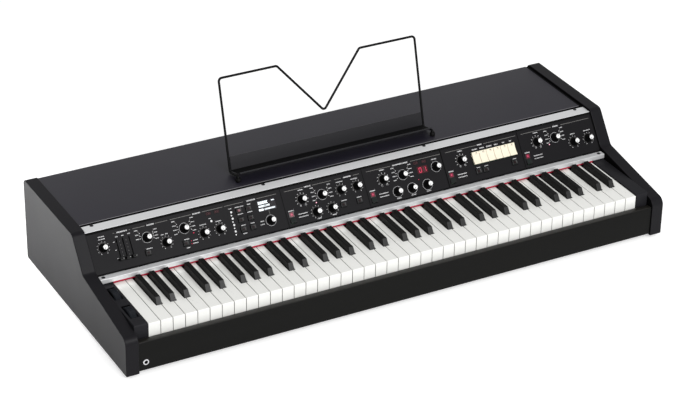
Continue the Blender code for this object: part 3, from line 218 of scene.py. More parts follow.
for side in ("left", "right"):
    low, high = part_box(side + "_side_panel")
    bm = bmesh.new()
    ends = drawn_along_x(bm, side_outline(low, high), low.x, high.x)
    # The inner end face takes the near-black coat: painted shade.
    ends[1 if side == "left" else 0].material_index = 1
    put(side + "_cheek", bm, [side_lacquer, inner_face_shade], "case", "side_panel",
        side + "_side_panel", edge=side_edge, segments=4, keen=50)


# Case bottom, front rail and rear panel
# The case is a tray of folded steel, powder coated black. The rail under the keys is a satin
# black extrusion that closes its front; its flat top is painted lighter and glossier as a painted
# highlight.
facet_weld, facet_flat = 0.000005, math.radians(0.6)


def eased_copy(name, node, body, coat, slot, edge, segments=2, keen=40):
    """A node's own form with its facets merged and its sharp edges eased."""
    bm = bmesh.new()
    bm.from_mesh(frame["nodes"][node].data)
    bmesh.ops.remove_doubles(bm, verts=bm.verts, dist=facet_weld)
    bmesh.ops.dissolve_limit(bm, angle_limit=facet_flat, verts=bm.verts, edges=bm.edges)
    return put(name, bm, coat, body, slot, node, edge=edge, segments=segments, keen=keen)


powder_coat = finish("black_powder_coat", (0.020, 0.019, 0.022), 0.48, grain=1500, bump=0.12,
                     mottle=0.14, patch=6, deep=0.0003)
rail_paint = finish("satin_rail_paint", (0.0040, 0.0040, 0.0036), 0.46, grain=800, bump=0.06,
                    gloss=0.10)
eased_copy("base_tray", "bottom_board", "case", powder_coat, "black_sheet", 0.0008)
eased_copy("rear_wall", "rear_panel", "case", powder_coat, "black_sheet", 0.0004)
rail_top_highlight = finish("handled_rail_top", (0.0095, 0.0088, 0.0074), 0.40, grain=800, bump=0.06,
                        gloss=0.28)
rail = eased_copy("keyboard_rail", "front_rail", "case", rail_paint, "rail", 0.0012, segments=4)
rail.data.materials.append(rail_top_highlight)
# Upward faces of the rail take the lighter paint: a painted highlight.
for face in rail.data.polygons:
    if face.normal.z > 0.9:
        face.material_index = 1


# Rubber feet
# Four turned feet of black rubber, each with a moulded recess for the screw that holds it.
foot_recess, foot_edge = 0.0035, 0.0012
foot_sole, foot_hole = 0.85, 0.30    # shares of the radius
soft_rubber = finish("foot_rubber", (0.018, 0.018, 0.018), 0.75, grain=1200, bump=0.25)


def circle(count):
    """Evenly spaced (cosine, sine) pairs."""
    return [(math.cos(2 * math.pi * i / count), math.sin(2 * math.pi * i / count))
            for i in range(count)]


def turned(bm, outline, sides, place=(0, 0, 0), turn=None, material_indices=None):
    """Adds (radius, height) points turned about their own upright axis; radius 0 closes an end."""
    rings = []
    for radius, height in outline:
        spots = [Vector((radius * cos, radius * sin, height)) for cos, sin in circle(sides)]
        rings.append([bm.verts.new((turn @ spot if turn else spot) + Vector(place))
                      for spot in spots[:sides if radius > 0 else 1]])
    for number, (low, high) in enumerate(zip(rings, rings[1:])):
        for i in range(sides):
            k = (i + 1) % sides
            corners = low[i % len(low)], low[k % len(low)], high[k % len(high)], high[i % len(high)]
            unique = list(dict.fromkeys(corners))
            if len(unique) > 2:
                face = bm.faces.new(unique)
                if material_indices:
                    face.material_index = material_indices[number]
    return rings


for end in ("front", "rear"):
    for side in ("left", "right"):
        node = "rubber_foot_" + end + "_" + side
        low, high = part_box(node)
        radius = (high.x - low.x) / 2
        bm = bmesh.new()
        turned(bm, ((0, foot_recess), (radius * foot_hole, foot_recess),
                    (radius * (foot_hole + 0.04), low.z),
                    (radius * foot_sole - foot_edge, low.z), (radius * foot_sole, foot_edge),
                    (radius, high.z - foot_edge), (radius - foot_edge / 2, high.z), (0, high.z)),
               48, ((low.x + high.x) / 2, (low.y + high.y) / 2, 0))
        put("foot_" + end + "_" + side, bm, soft_rubber, "case", "rubber", node)


# Key frame, control board and power supply
# A bent steel section that the keys rock on, the green circuit board behind the panel and a
# zinc-plated power supply. They are closed in by the case.
board_depth = 0.0118                  # the board's face, behind the panel's
board_green = (0.025, 0.13, 0.06, 1)
zinc = finish("zinc_plate", (0.55, 0.56, 0.58), 0.38, metal=1.0, grain=60, bump=0.03, mottle=0.12)


def board_with_parts():
    """Green at the level of the board, and the black plastic of its parts above it."""
    made = finish("green_board_black_parts", (0.006, 0.006, 0.0065), 0.42, grain=600, bump=0.05)
    tree = made.node_tree
    colour = tree.nodes["Principled BSDF"].inputs["Base Color"]
    cos, sin = math.cos(panel_slope), math.sin(panel_slope)
    place = add_node(tree, "TexCoord", {}).outputs["Object"]
    level = add_node(tree, "VectorMath", {0: place, 1: (0, -sin, cos)}, operation="DOT_PRODUCT")
    face_level = panel_origin.z * cos - panel_origin.y * sin - board_depth
    behind = add_node(tree, "Math", {0: level.outputs["Value"], 1: face_level},
                      operation="LESS_THAN")
    paint = add_node(tree, "Mix",
                     {"Factor": behind.outputs["Value"], "A": colour.links[0].from_socket,
                      "B": board_green}, data_type="RGBA")
    tree.links.new(paint.outputs["Result"], colour)
    return made


def coat_node(node, coat):
    """Gives a solid that stays visible its material."""
    frame["nodes"][node].data.materials.clear()
    frame["nodes"][node].data.materials.append(coat)


for node, coat in (("key_frame", zinc), ("power_supply", zinc),
                   ("control_board", board_with_parts())):
    coat_node(node, coat)


# White keys
# Forty-three hollow keys moulded in off-white plastic with a polished top, each with a deep lip
# at its front. They are made in two combs, C E G B and D F A, and rock on the key frame.
key_pitch = 0.0235
key_count = 43
key_gap = 0.0010
key_letters = "CDEFGAB"
first_key_letter = 2                  # the lowest key is an E
black_key_width = 0.0110
black_key_offset = {"C": -0.00235, "D": 0.00235, "F": -0.00336, "G": 0.0, "A": 0.00336}
key_edge = 0.0006
key_front_round = 0.0015
key_corner, key_neck, key_cut = 0.0006, 0.0004, 0.0012     # radii in plan
key_wall = 0.0016
comb_strip = 0.0052
keyboard_left = -key_pitch * key_count / 2
white_low, white_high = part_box("white_keys_c_e_g_b")
black_low, black_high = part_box("black_keys")
key_front, key_bottom, key_top = white_low.y, white_low.z, white_high.z
key_rear = white_high.y - comb_strip
black_front, key_skirt = black_low.y, black_low.z
key_head = black_front - key_gap      # where the white keys narrow

key_ivory = finish("polished_key_plastic", (0.83, 0.83, 0.80), 0.24, grain=250, bump=0.012,
                   mottle=0.02, patch=5, rough_play=0.05, coat=0.25)
# The keys' sides below the rolled edge are painted dark grey: painted shade in the gaps between
# keys.
key_side_shade = finish("unpolished_key_side", (0.22, 0.215, 0.20), 0.60, grain=700, bump=0.10,
                  mottle=0.08)


def key_letter(index):
    """Letter of a white key, counted from the lowest one."""
    return key_letters[(first_key_letter + index) % 7]


def black_centre(index):
    """Middle of the black key between this white key and the next, if there is one."""
    if 0 <= index < key_count - 1 and key_letter(index) in black_key_offset:
        return keyboard_left + (index + 1) * key_pitch + black_key_offset[key_letter(index)]
    return None


def white_corners(index):
    """Corners of a white key with their radii, anticlockwise from the front left one."""
    left = keyboard_left + index * key_pitch + key_gap / 2
    right = left + key_pitch - key_gap
    beside = black_key_width / 2 + key_gap
    before, after = black_centre(index - 1), black_centre(index)
    outline = [(left, key_front, key_corner), (right, key_front, key_corner)]
    if after is None:
        outline += [(right, key_head, 0), (right, key_rear, 0)]
    else:
        outline += [(right, key_head, key_neck), (after - beside, key_head, key_cut),
                    (after - beside, key_rear, 0)]
    if before is None:
        outline += [(left, key_rear, 0), (left, key_head, 0)]
    else:
        outline += [(before + beside, key_rear, 0), (before + beside, key_head, key_cut),
                    (left, key_head, key_neck)]
    return outline


def key_pocket(bm, corners, outline, bottom):
    """The hollow under a moulded key: its lower rim, its inner walls and its ceiling."""
    places = [Vector((x, y)) for x, y, radius in corners]
    rim, ceiling = [], []
    for i, p in enumerate(places):
        back = (p - places[i - 1]).normalized()
        ahead = (places[(i + 1) % len(places)] - p).normalized()
        inward = Vector((-back.y, back.x)), Vector((-ahead.y, ahead.x))
        q = p + key_wall * (inward[0] if inward[0].dot(inward[1]) > 0.5 else inward[0] + inward[1])
        rim.append(bm.verts.new((q.x, q.y, key_underside(q.y))))
        ceiling.append(bm.verts.new((q.x, q.y, key_top - key_wall)))
    nearest = [min(range(len(places)), key=lambda j: (places[j] - p).length) for p in outline]
    for i, here in enumerate(nearest):
        k = (i + 1) % len(nearest)
        lip = [rim[here], rim[nearest[k]]] if nearest[k] != here else [rim[here]]
        bm.faces.new(lip + [bottom[k], bottom[i]])
    bridge(bm, (ceiling, rim))
    bm.faces.new(ceiling[::-1])


def key_underside(y):
    """The lip is deep at the front and rises to the level of the skirt."""
    share = min(max((y - key_front) / (key_head - key_front), 0), 1)
    return key_bottom + share * (key_skirt - key_bottom)


roll_steps, mitre_limit = 5, 0.4


def add_white_key(bm, index):
    """One key with a rolled edge round its top, rounder at the front."""
    corners = white_corners(index)
    outline = soft_outline([((x, y), radius) for x, y, radius in corners], steps=3)
    levels = [[bm.verts.new((p.x, p.y, key_underside(p.y))) for p in outline]]
    for k in range(roll_steps + 1):
        angle = math.pi / 2 * k / roll_steps
        ring = []
        for i, p in enumerate(outline):
            roll = key_front_round if p.y < key_front + key_front_round else key_edge
            inset = Vector((key_edge, roll)) * (1 - math.cos(angle))
            drop = roll * (1 - math.sin(angle))
            back = (outline[i - 1] - p).normalized()
            ahead = (outline[(i + 1) % len(outline)] - p).normalized()
            normal = Vector((-ahead.y + back.y, ahead.x - back.x)).normalized()
            q = p + normal * inset / max(abs(normal.dot(Vector((-ahead.y, ahead.x)))), mitre_limit)
            ring.append(bm.verts.new((q.x, q.y, key_top - drop)))
        levels.append(ring)
    # Side faces behind the rounded front take the dark grey: painted shade.
    for i, side in enumerate(bridge(bm, levels)[0]):
        if max(outline[i].y, outline[(i + 1) % len(outline)].y) > key_front + key_front_round:
            side.material_index = 1
    bm.faces.new(levels[-1])
    key_pocket(bm, corners, outline, levels[0])


for name, letters in (("white_keys_c_e_g_b", "CEGB"), ("white_keys_d_f_a", "DFA")):
    bm = bmesh.new()
    for index in range(key_count):
        if key_letter(index) in letters:
            add_white_key(bm, index)
    ivory_keys = put(name + "_moulding", bm, [key_ivory, key_side_shade], name, "white_key", name,
                     keen=60)
    flat_tops = ivory_keys.modifiers.new("flat_faces_stay_flat", "WEIGHTED_NORMAL")
    flat_tops.mode = "FACE_AREA"
    flat_tops.keep_sharp = True


# Black keys
# Thirty raised keys of hard matt plastic with a rounded nose and sides that lean in, moulded in
# one comb behind the white keys.
black_top_width = 0.0094
black_rear_gap = 0.0193              # behind the panel's lower end they go on as a low tail
black_nose = 0.0075
black_edge = 0.0009
black_shelf = key_top - key_gap
tail_sink = 0.0003
raised_rear = panel_origin.y - black_rear_gap
key_ebony = finish("matt_black_key_plastic", (0.0045, 0.0045, 0.0045), 0.50, grain=500, bump=0.05,
                   mottle=0.2, patch=20, gloss=0.14)
# The sloping nose takes a lighter, glossier copy of the black plastic: a painted highlight.
key_nose_highlight = finish("satin_key_nose", (0.0190, 0.0190, 0.0190), 0.40, grain=500, bump=0.05,
                  mottle=0.2, patch=20, gloss=0.25)


def slab(bm, low, high, material_index=0):
    """Adds a box between two corners."""
    verts = bmesh.ops.create_cube(bm, size=1.0)["verts"]
    for v in verts:
        v.co = Vector([low[i] + (v.co[i] + 0.5) * (high[i] - low[i]) for i in range(3)])
    for face in {face for v in verts for face in v.link_faces}:
        face.material_index = material_index


bm = bmesh.new()
wide, thin = black_key_width / 2, black_top_width / 2
for centre in [black_centre(index) for index in range(key_count)]:
    if centre is None:
        continue
    rings = [[bm.verts.new((centre + side * half, y, z)) for side, y in
              ((-1, front), (1, front), (1, rear), (-1, rear))]
             for half, front, rear, z in (
                 (wide, black_front, raised_rear, key_skirt),
                 (wide, black_front, raised_rear, black_shelf),
                 (thin, black_front + black_nose, raised_rear - key_gap, black_high.z))]
    # The front face of the raised part is the nose, with the lighter copy: painted highlight.
    bridge(bm, rings)[1][0].material_index = 1
    bm.faces.new(rings[0][::-1])
    bm.faces.new(rings[2])
    slab(bm, (centre - wide, raised_rear - 0.001, key_skirt + tail_sink),
         (centre + wide - 0.0001, key_rear, black_shelf - tail_sink))
put("black_keys_moulding", bm, [key_ebony, key_nose_highlight], "black_keys", "black_key", "black_keys",
    edge=black_edge, segments=5, keen=24)


# Red felt
# A strip of red wool felt glued under the lower trim, so that the keys' rear ends show no gap.
felt_wool = finish("red_wool_felt", (0.42, 0.010, 0.036), 0.95, grain=2600, bump=0.9, mottle=0.35,
                   patch=90, deep=0.0006, gloss=0.15)
felt_fuzz, felt_columns, felt_seed = 0.00022, 420, 7
low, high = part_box("key_felt")
random.seed(felt_seed)
bm = bmesh.new()
rings = []
for i in range(felt_columns + 1):
    x = low.x + (high.x - low.x) * i / felt_columns
    ring = []
    for y, z in ((low.y, low.z), (low.y, (low.z + high.z) / 2), (low.y, high.z),
                 (high.y, high.z), (high.y, low.z)):
        fuzz = random.uniform(-felt_fuzz, felt_fuzz) if y == low.y else 0
        ring.append(bm.verts.new((x, y + fuzz, z + fuzz / 2 if z != high.z else z)))
    rings.append(ring)
bridge(bm, rings)
bm.faces.new(rings[0])
bm.faces.new(rings[-1][::-1])
put("felt_strip", bm, felt_wool, "case", "felt", "key_felt")


# Key blocks
# Two moulded end blocks of fine-grained black plastic that fill the gap between the keys and the
# cheeks. The left one is slotted for the wheels and carries their pins.
block_plastic = finish("grained_black_plastic", (0.0140, 0.0138, 0.0160), 0.52, grain=1400,
                       bump=0.22, mottle=0.15, gloss=0.10)
eased_copy("end_block_left", "left_key_block", "case", block_plastic, "black_plastic", 0.0006)
eased_copy("end_block_right", "right_key_block", "case", block_plastic, "black_plastic", 0.0008,
           segments=3)


# Pitch and modulation wheels
# Two wheels of hard rubber-like plastic on steel pins, ribbed across the tread so that a finger
# holds them. The pitch wheel springs back; the other stays where it is put.
wheel_ribs, wheel_rib_depth = 60, 0.0005
wheel_shoulder = 0.0016
wheel_hub_radius = 0.0031
wheel_web, wheel_rim = 0.55, 0.62    # shares of the radius between which the web slopes
wheel_web_half = 0.7                 # share of the half width
wheel_rubber = finish("wheel_rubber", (0.0070, 0.0085, 0.0115), 0.50, grain=900, bump=0.12,
                      gloss=0.12)
across = Matrix.Rotation(math.pi / 2, 3, "Y")
for node in ("pitch_wheel", "mod_wheel"):
    low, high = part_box(node)
    centre = (low + high) / 2
    radius, half = (high.z - low.z) / 2, (high.x - low.x) / 2
    profile = ((wheel_hub_radius, half * wheel_web_half),
               (radius * wheel_web, half * wheel_web_half),
               (radius * wheel_rim, half), (radius - wheel_shoulder, half),
               (radius, half - wheel_shoulder))
    bm = bmesh.new()
    rings = []
    for ring_radius, height in [(r, -h) for r, h in profile] + list(profile[::-1]):
        ring = []
        for i, (cos, sin) in enumerate(circle(wheel_ribs * 4)):
            dip = wheel_rib_depth if ring_radius == radius and i % 4 in (1, 2) else 0
            spot = Vector(((ring_radius - dip) * cos, (ring_radius - dip) * sin, height))
            ring.append(bm.verts.new(across @ spot + centre))
        rings.append(ring)
    bridge(bm, rings + rings[:1])
    put(node + "_tyre", bm, wheel_rubber, node, "black_plastic", node, keen=30)


# Lower trim bar
# A bar of aluminium along the keys, brushed along its length and clear anodised, held at each
# end by a black countersunk screw.
bar_edge = 0.0008
lower_screw_in = 0.0095
brushed = finish("brushed_aluminium", (0.77, 0.775, 0.785), 0.42, metal=0.45, grain=90, bump=0.10,
                 mottle=0.05, patch=3, rough_play=0.04, stretch=(0.6, 40, 40), deep=0.0004)
screw_black = finish("blackened_steel", (0.020, 0.020, 0.022), 0.35, metal=0.6, grain=900,
                     bump=0.08)


def screw(bm, place, radius=0.0035, height=0.0011):
    """A low domed head with a six-sided socket."""
    sides = 36
    rings = turned(bm, ((radius, 0.00005), (radius, height * 0.35), (radius * 0.86, height * 0.8),
                        (radius * 0.62, height), (radius * 0.46, height)), sides, place)
    socket = []
    for depth in (height, height * 0.15):
        ring = []
        for i, (cos, sin) in enumerate(circle(sides)):
            off_flat = 2 * math.pi * i / sides % (math.pi / 3) - math.pi / 6
            reach = radius * 0.40 / max(math.cos(off_flat), 0.5) * 0.9
            ring.append(bm.verts.new(Vector((reach * cos, reach * sin, depth)) + Vector(place)))
        socket.append(ring)
    bridge(bm, (rings[-1], *socket))
    bm.faces.new(socket[1])


bm = bmesh.new()
slab(bm, trim_low, (trim_high.x, trim_high.y, trim_high.z - screw_head_height))
put("lower_bar", bm, brushed, "case", "aluminium_trim", "lower_trim_bar", edge=bar_edge, segments=3)
bm = bmesh.new()
for x in (trim_low.x + lower_screw_in, trim_high.x - lower_screw_in):
    screw(bm, (x, (trim_low.y + trim_high.y) / 2, trim_high.z - screw_head_height))
put("lower_bar_screws", bm, screw_black, "case", "black_plastic", keen=30)


# Upper trim bar
# The wider strip along the top of the control panel, of the same aluminium on a flat black bed
# that is painted shade below its front edge, with four black screws through its rear edge into the
# folded cover.
upper_low, upper_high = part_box("upper_trim_bar")
lid_top = upper_high.z - screw_head_height
upper_screws = (-0.5103, -0.1701, 0.1701, 0.5103)
upper_screw_back = 0.0198
upper_skin = 0.0011
upper_skin_rear = 0.0022             # the skin ends this far before its bed
bed_inset = 0.0004
# Flat black laid where shade falls: under the upper bar, in the plate's seams, in the lid's channel
# and end strips and on the stand's tray. It is painted shade.
painted_shade_black = finish("matt_black_bed", (0.0030, 0.0030, 0.0032), 0.80, grain=1300, bump=0.15,
                   gloss=0.10)
bm = bmesh.new()
slab(bm, (upper_low.x, upper_low.y, lid_top - upper_skin),
     (upper_high.x, upper_high.y - upper_skin_rear, lid_top))
put("upper_bar", bm, brushed, "case", "aluminium_trim", "upper_trim_bar", edge=0.0003, segments=3)
bm = bmesh.new()
slab(bm, (upper_low.x, upper_low.y + bed_inset, upper_low.z),
     (upper_high.x, upper_high.y - bed_inset, lid_top - upper_skin - hair))
put("upper_bar_bed", bm, painted_shade_black, "case", "black_plastic", edge=0.0002, segments=2)
bm = bmesh.new()
for x in upper_screws:
    screw(bm, (x, upper_low.y + upper_screw_back, lid_top))
put("upper_bar_screws", bm, screw_black, "case", "black_plastic", keen=30)


# Top cover
# One sheet of steel folded down at the rear and stepped down at the front, where the upper trim
# lies in the step. Its coat is black powder. The channel at the step is lined with flat black as
# painted shade, the rounded top of the step is a lighter grey as a painted highlight, and flat
# black strips at the lid's ends are painted shadow beside the cheeks.
cover_low, cover_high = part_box("top_cover")
sheet = 0.002
cover_fold, step_fold = 0.0016, 0.0008
cover_step = upper_high.y + 0.0052   # an open channel is left behind the trim
cover_seat = upper_low.z - 0.0003
cover_flange = 0.018
# Flat black strips at the lid's ends, wider at the right: painted shadow of the cheeks on the lid.
lid_end_shadow_strips = {"left": 0.0008, "right": 0.0048}     # black strips between the lid and the cheeks
lid_end_drop = 0.0006
lid_left = cover_low.x + lid_end_shadow_strips["left"]
lid_right = cover_high.x - lid_end_shadow_strips["right"]
lid_coat = finish("lid_powder_coat", (0.0100, 0.0088, 0.0160), 0.46, grain=1500, bump=0.12,
                  mottle=0.12, patch=4, deep=0.0003)
lid_edge_highlight = finish("rubbed_lid_edge", (0.120, 0.117, 0.128), 0.35, grain=900, bump=0.05, mottle=0.15)
bm = bmesh.new()
folds = drawn_along_x(bm, soft_outline((
    ((cover_high.y, lid_top - cover_flange), 0),
    ((cover_high.y, lid_top), cover_fold),
    ((cover_step, lid_top), step_fold),
    ((cover_step, cover_seat), 0),
    ((upper_low.y + sheet, cover_seat), 0),
    ((upper_low.y + sheet, cover_seat - sheet), 0),
    ((cover_step + sheet, cover_seat - sheet), 0),
    ((cover_step + sheet, lid_top - sheet), 0),
    ((cover_high.y - sheet, lid_top - sheet), 0),
    ((cover_high.y - sheet, lid_top - cover_flange), 0),
), steps=6), lid_left, lid_right)
for start, end in ((cover_low.x, lid_left), (lid_right, cover_high.x)):
    slab(bm, (start, cover_step, lid_top - sheet),
         (end, cover_high.y - sheet, lid_top - lid_end_drop), 1)
# The channel's walls take flat black as painted shade, and the rounded top of the step the lighter
# grey as a painted highlight.
for face in folds:
    middle = face.calc_center_median()
    if middle.y < cover_step + sheet and middle.z < lid_top - hair / 2:
        face.material_index = 2 if middle.z > lid_top - step_fold else 1
put("folded_cover", bm, [lid_coat, painted_shade_black, lid_edge_highlight], "case", "black_sheet", "top_cover")


# Control plate
# A sheet of dark-coated steel with the openings punched out and fine seams between its sections.
# Scales and marks are screen printed on it in white and grey.
plate_coat = finish("control_plate_coat", (0.0066, 0.0062, 0.0074), 0.48, grain=1700, bump=0.10,
                    mottle=0.14, patch=11, deep=0.0002, gloss=0.10)
coat_node("control_plate", plate_coat)
panel_turn = Matrix.Rotation(panel_slope, 4, "X")
panel_place = Matrix.Translation(panel_origin) @ panel_turn
into_panel = panel_place.inverted()
plate_low, plate_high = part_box("control_plate")
plate_low_end, plate_high_end = 0.0005, 0.0765       # up the slope
ink_lift = 0.00008
white_ink = finish("white_print", (0.68, 0.68, 0.69), 0.55, grain=3000, bump=0.02, mottle=0.06)
grey_ink = finish("grey_print", (0.20, 0.195, 0.185), 0.55, grain=3000, bump=0.02, mottle=0.08)
dim_red_ink = finish("dim_red_print", (0.060, 0.008, 0.014), 0.55, grain=3000, bump=0.02,
                     mottle=0.08)
black_ink = finish("black_print", (0.0012, 0.0012, 0.0012), 0.75, grain=3000, bump=0.02,
                   mottle=0.08, gloss=0.05)
joint_of = {joint["child"]: joint for joint in frame["joints"]}
rockers = ["module_rocker_" + number for number in "1234"]
rocker_x = [joint_of[node]["pos_m"][0] for node in rockers]
module_pitch = rocker_x[1] - rocker_x[0]


def on_plate(node):
    """Where a turning control stands: x along the panel and the distance up its slope."""
    spot = into_panel @ Vector(joint_of[node]["pos_m"])
    return spot.x, spot.y


print_bm = bmesh.new()
WHITE, GREY, DIM_RED, BLACK = 0, 1, 2, 3


def dash(x, up, width, height=0.0011, ink=WHITE, tilt=0.0, bm=print_bm, lift=ink_lift):
    """A printed bar with its middle at a place on the panel."""
    cos, sin = math.cos(tilt), math.sin(tilt)
    corners = [(a * width / 2, b * height / 2) for a, b in ((-1, -1), (1, -1), (1, 1), (-1, 1))]
    verts = [bm.verts.new((x + u * cos - v * sin, up + u * sin + v * cos, lift))
             for u, v in corners]
    bm.faces.new(verts).material_index = ink


def word(x, up, length, height=0.0017, ink=WHITE, bm=print_bm, lift=ink_lift):
    """A run of plain strokes that reads as a small label from a step away and spells nothing."""
    draw = random.Random(int(x * 1e5) * 31 + int(up * 1e5))
    pitch = height * 0.78
    count = max(round(length / pitch), 1)
    pitch = length / count
    stroke = height * 0.26
    for i in range(count):
        mid = x - length / 2 + (i + 0.5) * pitch
        kind = draw.randrange(4)
        dash(mid - pitch * 0.26, up, stroke, height, ink, 0, bm, lift)
        if kind != 1:
            dash(mid + pitch * 0.22, up, stroke, height, ink, 0, bm, lift)
        if kind != 2:
            dash(mid, up + height * 0.37, pitch * 0.5, stroke, ink, 0, bm, lift)
        if kind != 3:
            dash(mid, up - height * 0.37, pitch * 0.5, stroke, ink, 0, bm, lift)


def spot_mark(x, up, radius, ink=WHITE):
    """A printed dot."""
    ring = [print_bm.verts.new((x + radius * cos, up + radius * sin, ink_lift))
            for cos, sin in circle(14)]
    print_bm.faces.new(ring).material_index = ink


def arc_mark(x, up, radius, width, start, end, ink=WHITE):
    """A printed arc, from one angle in degrees to another, anticlockwise from the right."""
    steps = max(int(abs(end - start) / 7), 3)
    rows = []
    for i in range(steps + 1):
        a = math.radians(start + (end - start) * i / steps)
        rows.append([print_bm.verts.new((x + r * math.cos(a), up + r * math.sin(a), ink_lift))
                     for r in (radius - width / 2, radius + width / 2)])
    for a, b in zip(rows, rows[1:]):
        print_bm.faces.new((a[0], a[1], b[1], b[0])).material_index = ink


scale_start, scale_sweep, scale_marks = 240, 300, 11  # degrees from the right, clockwise
sign_shift, sign_drop, sign_half, sign_line = 0.0053, 0.0104, 0.0013, 0.0004


def scale_angles():
    """Angles of a scale's marks, from a knob's lowest to its highest setting."""
    return [math.radians(scale_start - scale_sweep * i / (scale_marks - 1))
            for i in range(scale_marks)]


def dotted_scale(x, up, radius=0.0116, size=0.00055):
    """Eleven dots round a knob, the first and the last a little larger."""
    for i, a in enumerate(scale_angles()):
        spot_mark(x + radius * math.cos(a), up + radius * math.sin(a),
                  size * (1.25 if i in (0, scale_marks - 1) else 1))


def dashed_scale(x, up, radius=0.0122):
    """Short strokes round a volume knob, with a small square in place of both end strokes."""
    for a in scale_angles()[1:-1]:
        dash(x + radius * math.cos(a), up + radius * math.sin(a), 0.0020, 0.0008, WHITE, a)
    for shift in (-sign_shift, sign_shift):
        for side in (-1, 1):
            dash(x + shift + side * sign_half, up - sign_drop, sign_line, 2 * sign_half + sign_line)
            dash(x + shift, up - sign_drop + side * sign_half, 2 * sign_half + sign_line, sign_line)


def legend_window(x, up, width=0.0104, height=0.0060, border=0.0009, line=0.0005):
    """A dark legend window with a dim outline and a dim sign in it."""
    dash(x, up, width, height, BLACK)
    dim = {"ink": DIM_RED, "lift": ink_lift * 1.5}
    for side in (-1, 1):
        dash(x + side * (width / 2 - border), up, line, height - 2 * border, **dim)
        dash(x, up + side * (height / 2 - border), width - 2 * border, line, **dim)
    word(x, up, width * 0.6, height * 0.4, **dim)


volume_knobs = ("module_1_knob_1", "module_2_knob_1", "module_3_knob", "module_4_knob_1")
dotted_knobs = ("main_knob_1", "main_knob_2", "main_knob_3", "main_knob_4", "module_1_knob_2",
                "module_1_knob_3", "module_1_knob_4", "module_1_knob_5", "module_4_knob_2",
                "module_4_knob_3")
ringed_knobs = ("menu_encoder", "module_2_encoder", "module_2_knob_2", "module_2_knob_3",
                "module_2_knob_4")
selector_knobs = ("main_selector_1", "main_selector_2", "module_1_selector", "module_2_selector",
                  "module_4_selector")
dim_arc, dim_line = 0.0096, 0.0004                   # radius and width
bright_ring, selector_ring, bright_line = 0.0101, 0.0098, 0.00036
volume_word = (0.0015, 0.0179, 0.0105)               # right of the knob, above it, and length
for node in volume_knobs:
    x, up = on_plate(node)
    dashed_scale(x, up)
    arc_mark(x, up, dim_arc, dim_line, -60, 240, GREY)
    word(x + volume_word[0], up + volume_word[1], volume_word[2])
for node in dotted_knobs:
    dotted_scale(*on_plate(node))
    arc_mark(*on_plate(node), dim_arc, 0.0003, -60, 240, GREY)
for node in ringed_knobs:
    arc_mark(*on_plate(node), bright_ring, bright_line, 0, 360)
selector_rows = (0.0162, 0.0082, 0.0004, -0.0072)
dot_out, leader_out, word_out = 0.0126, 0.0143, 0.0181
for node in selector_knobs:
    x, up = on_plate(node)
    arc_mark(x, up, selector_ring, bright_line, 60, 300)
    arc_mark(x, up, selector_ring, dim_line, -60, 60, GREY)
    for side in (-1, 1):
        for i, row in enumerate(selector_rows):
            if side > 0 and node == "main_selector_1":
                row = row * 0.72
            elif side < 0 and i == 3 and node == "main_selector_1":
                continue
            leader_turn = math.atan2(row * 0.38, side * 0.0034)
            dash(x + side * leader_out, up + row * 0.81, 0.0042, 0.0005, GREY, leader_turn)
            spot_mark(x + side * dot_out, up + row * 0.62, 0.00075)
            word(x + side * word_out, up + row, 0.0068, 0.0015)

# Labels in millimetres: x, place up the plate, length
labels = (
    (-504.4, 67.0, 12.0), (-504.5, 62.6, 13.0), (-391.7, 44.8, 6.0), (-383.7, 45.0, 5.0),
    (-311.9, 44.9, 13.0), (-281.1, 44.7, 11.0), (-28.0, 62.0, 14.0), (2.4, 61.3, 14.0),
    (174.3, 61.4, 10.5), (480.6, 45.3, 10.5), (513.4, 45.7, 15.5), (-85.8, 5.4, 8.5),
    (-53.7, 5.4, 9.5), (83.2, 5.4, 9.5), (114.5, 5.4, 9.5), (147.0, 5.4, 9.5),
    (-476.4, 60.7, 5.0), (-464.9, 60.8, 5.0), (-452.5, 61.5, 5.0), (-234.7, 60.9, 17.0),
    (-214.8, 61.5, 7.0), (-235.5, 47.5, 11.0), (-216.5, 47.5, 10.0), (-235.5, 26.5, 9.0),
    (-217.0, 26.5, 8.0), (-422.0, 26.4, 12.0), (-348.9, 26.4, 9.5), (-28.4, 26.4, 12.0),
    (3.2, 25.9, 9.5), (262.0, 25.6, 8.0), (279.2, 25.5, 8.0), (342.4, 25.5, 8.0),
    (-349.9, 11.0, 7.0), (-236.0, 11.3, 8.0), (-333.0, 21.7, 9.0), (-333.7, 16.4, 10.5),
    (-295.7, 52.8, 4.0), (-253.0, 61.1, 5.5), (-197.9, 25.0, 7.0), (-198.7, 19.2, 8.0),
)
small_print = 0.0016
for x, up, length in labels:
    word(x * 0.001, up * 0.001, length * 0.001, small_print)
switch_word = (0.0010, 0.0308, 0.0115, 0.0019)       # right of the switch, up, length, height
section_word_ups, section_word_right, section_word_length = (0.0213, 0.0158), 0.0228, 0.0195
for x in rocker_x:
    word(x + switch_word[0], *switch_word[1:])
    for up in section_word_ups:
        word(x + section_word_right, up, section_word_length, small_print)
for x, up in ((-0.2959, 0.0622), (-0.2795, 0.0622), (0.1350, 0.0622), (0.1527, 0.0618)):
    legend_window(x, up)

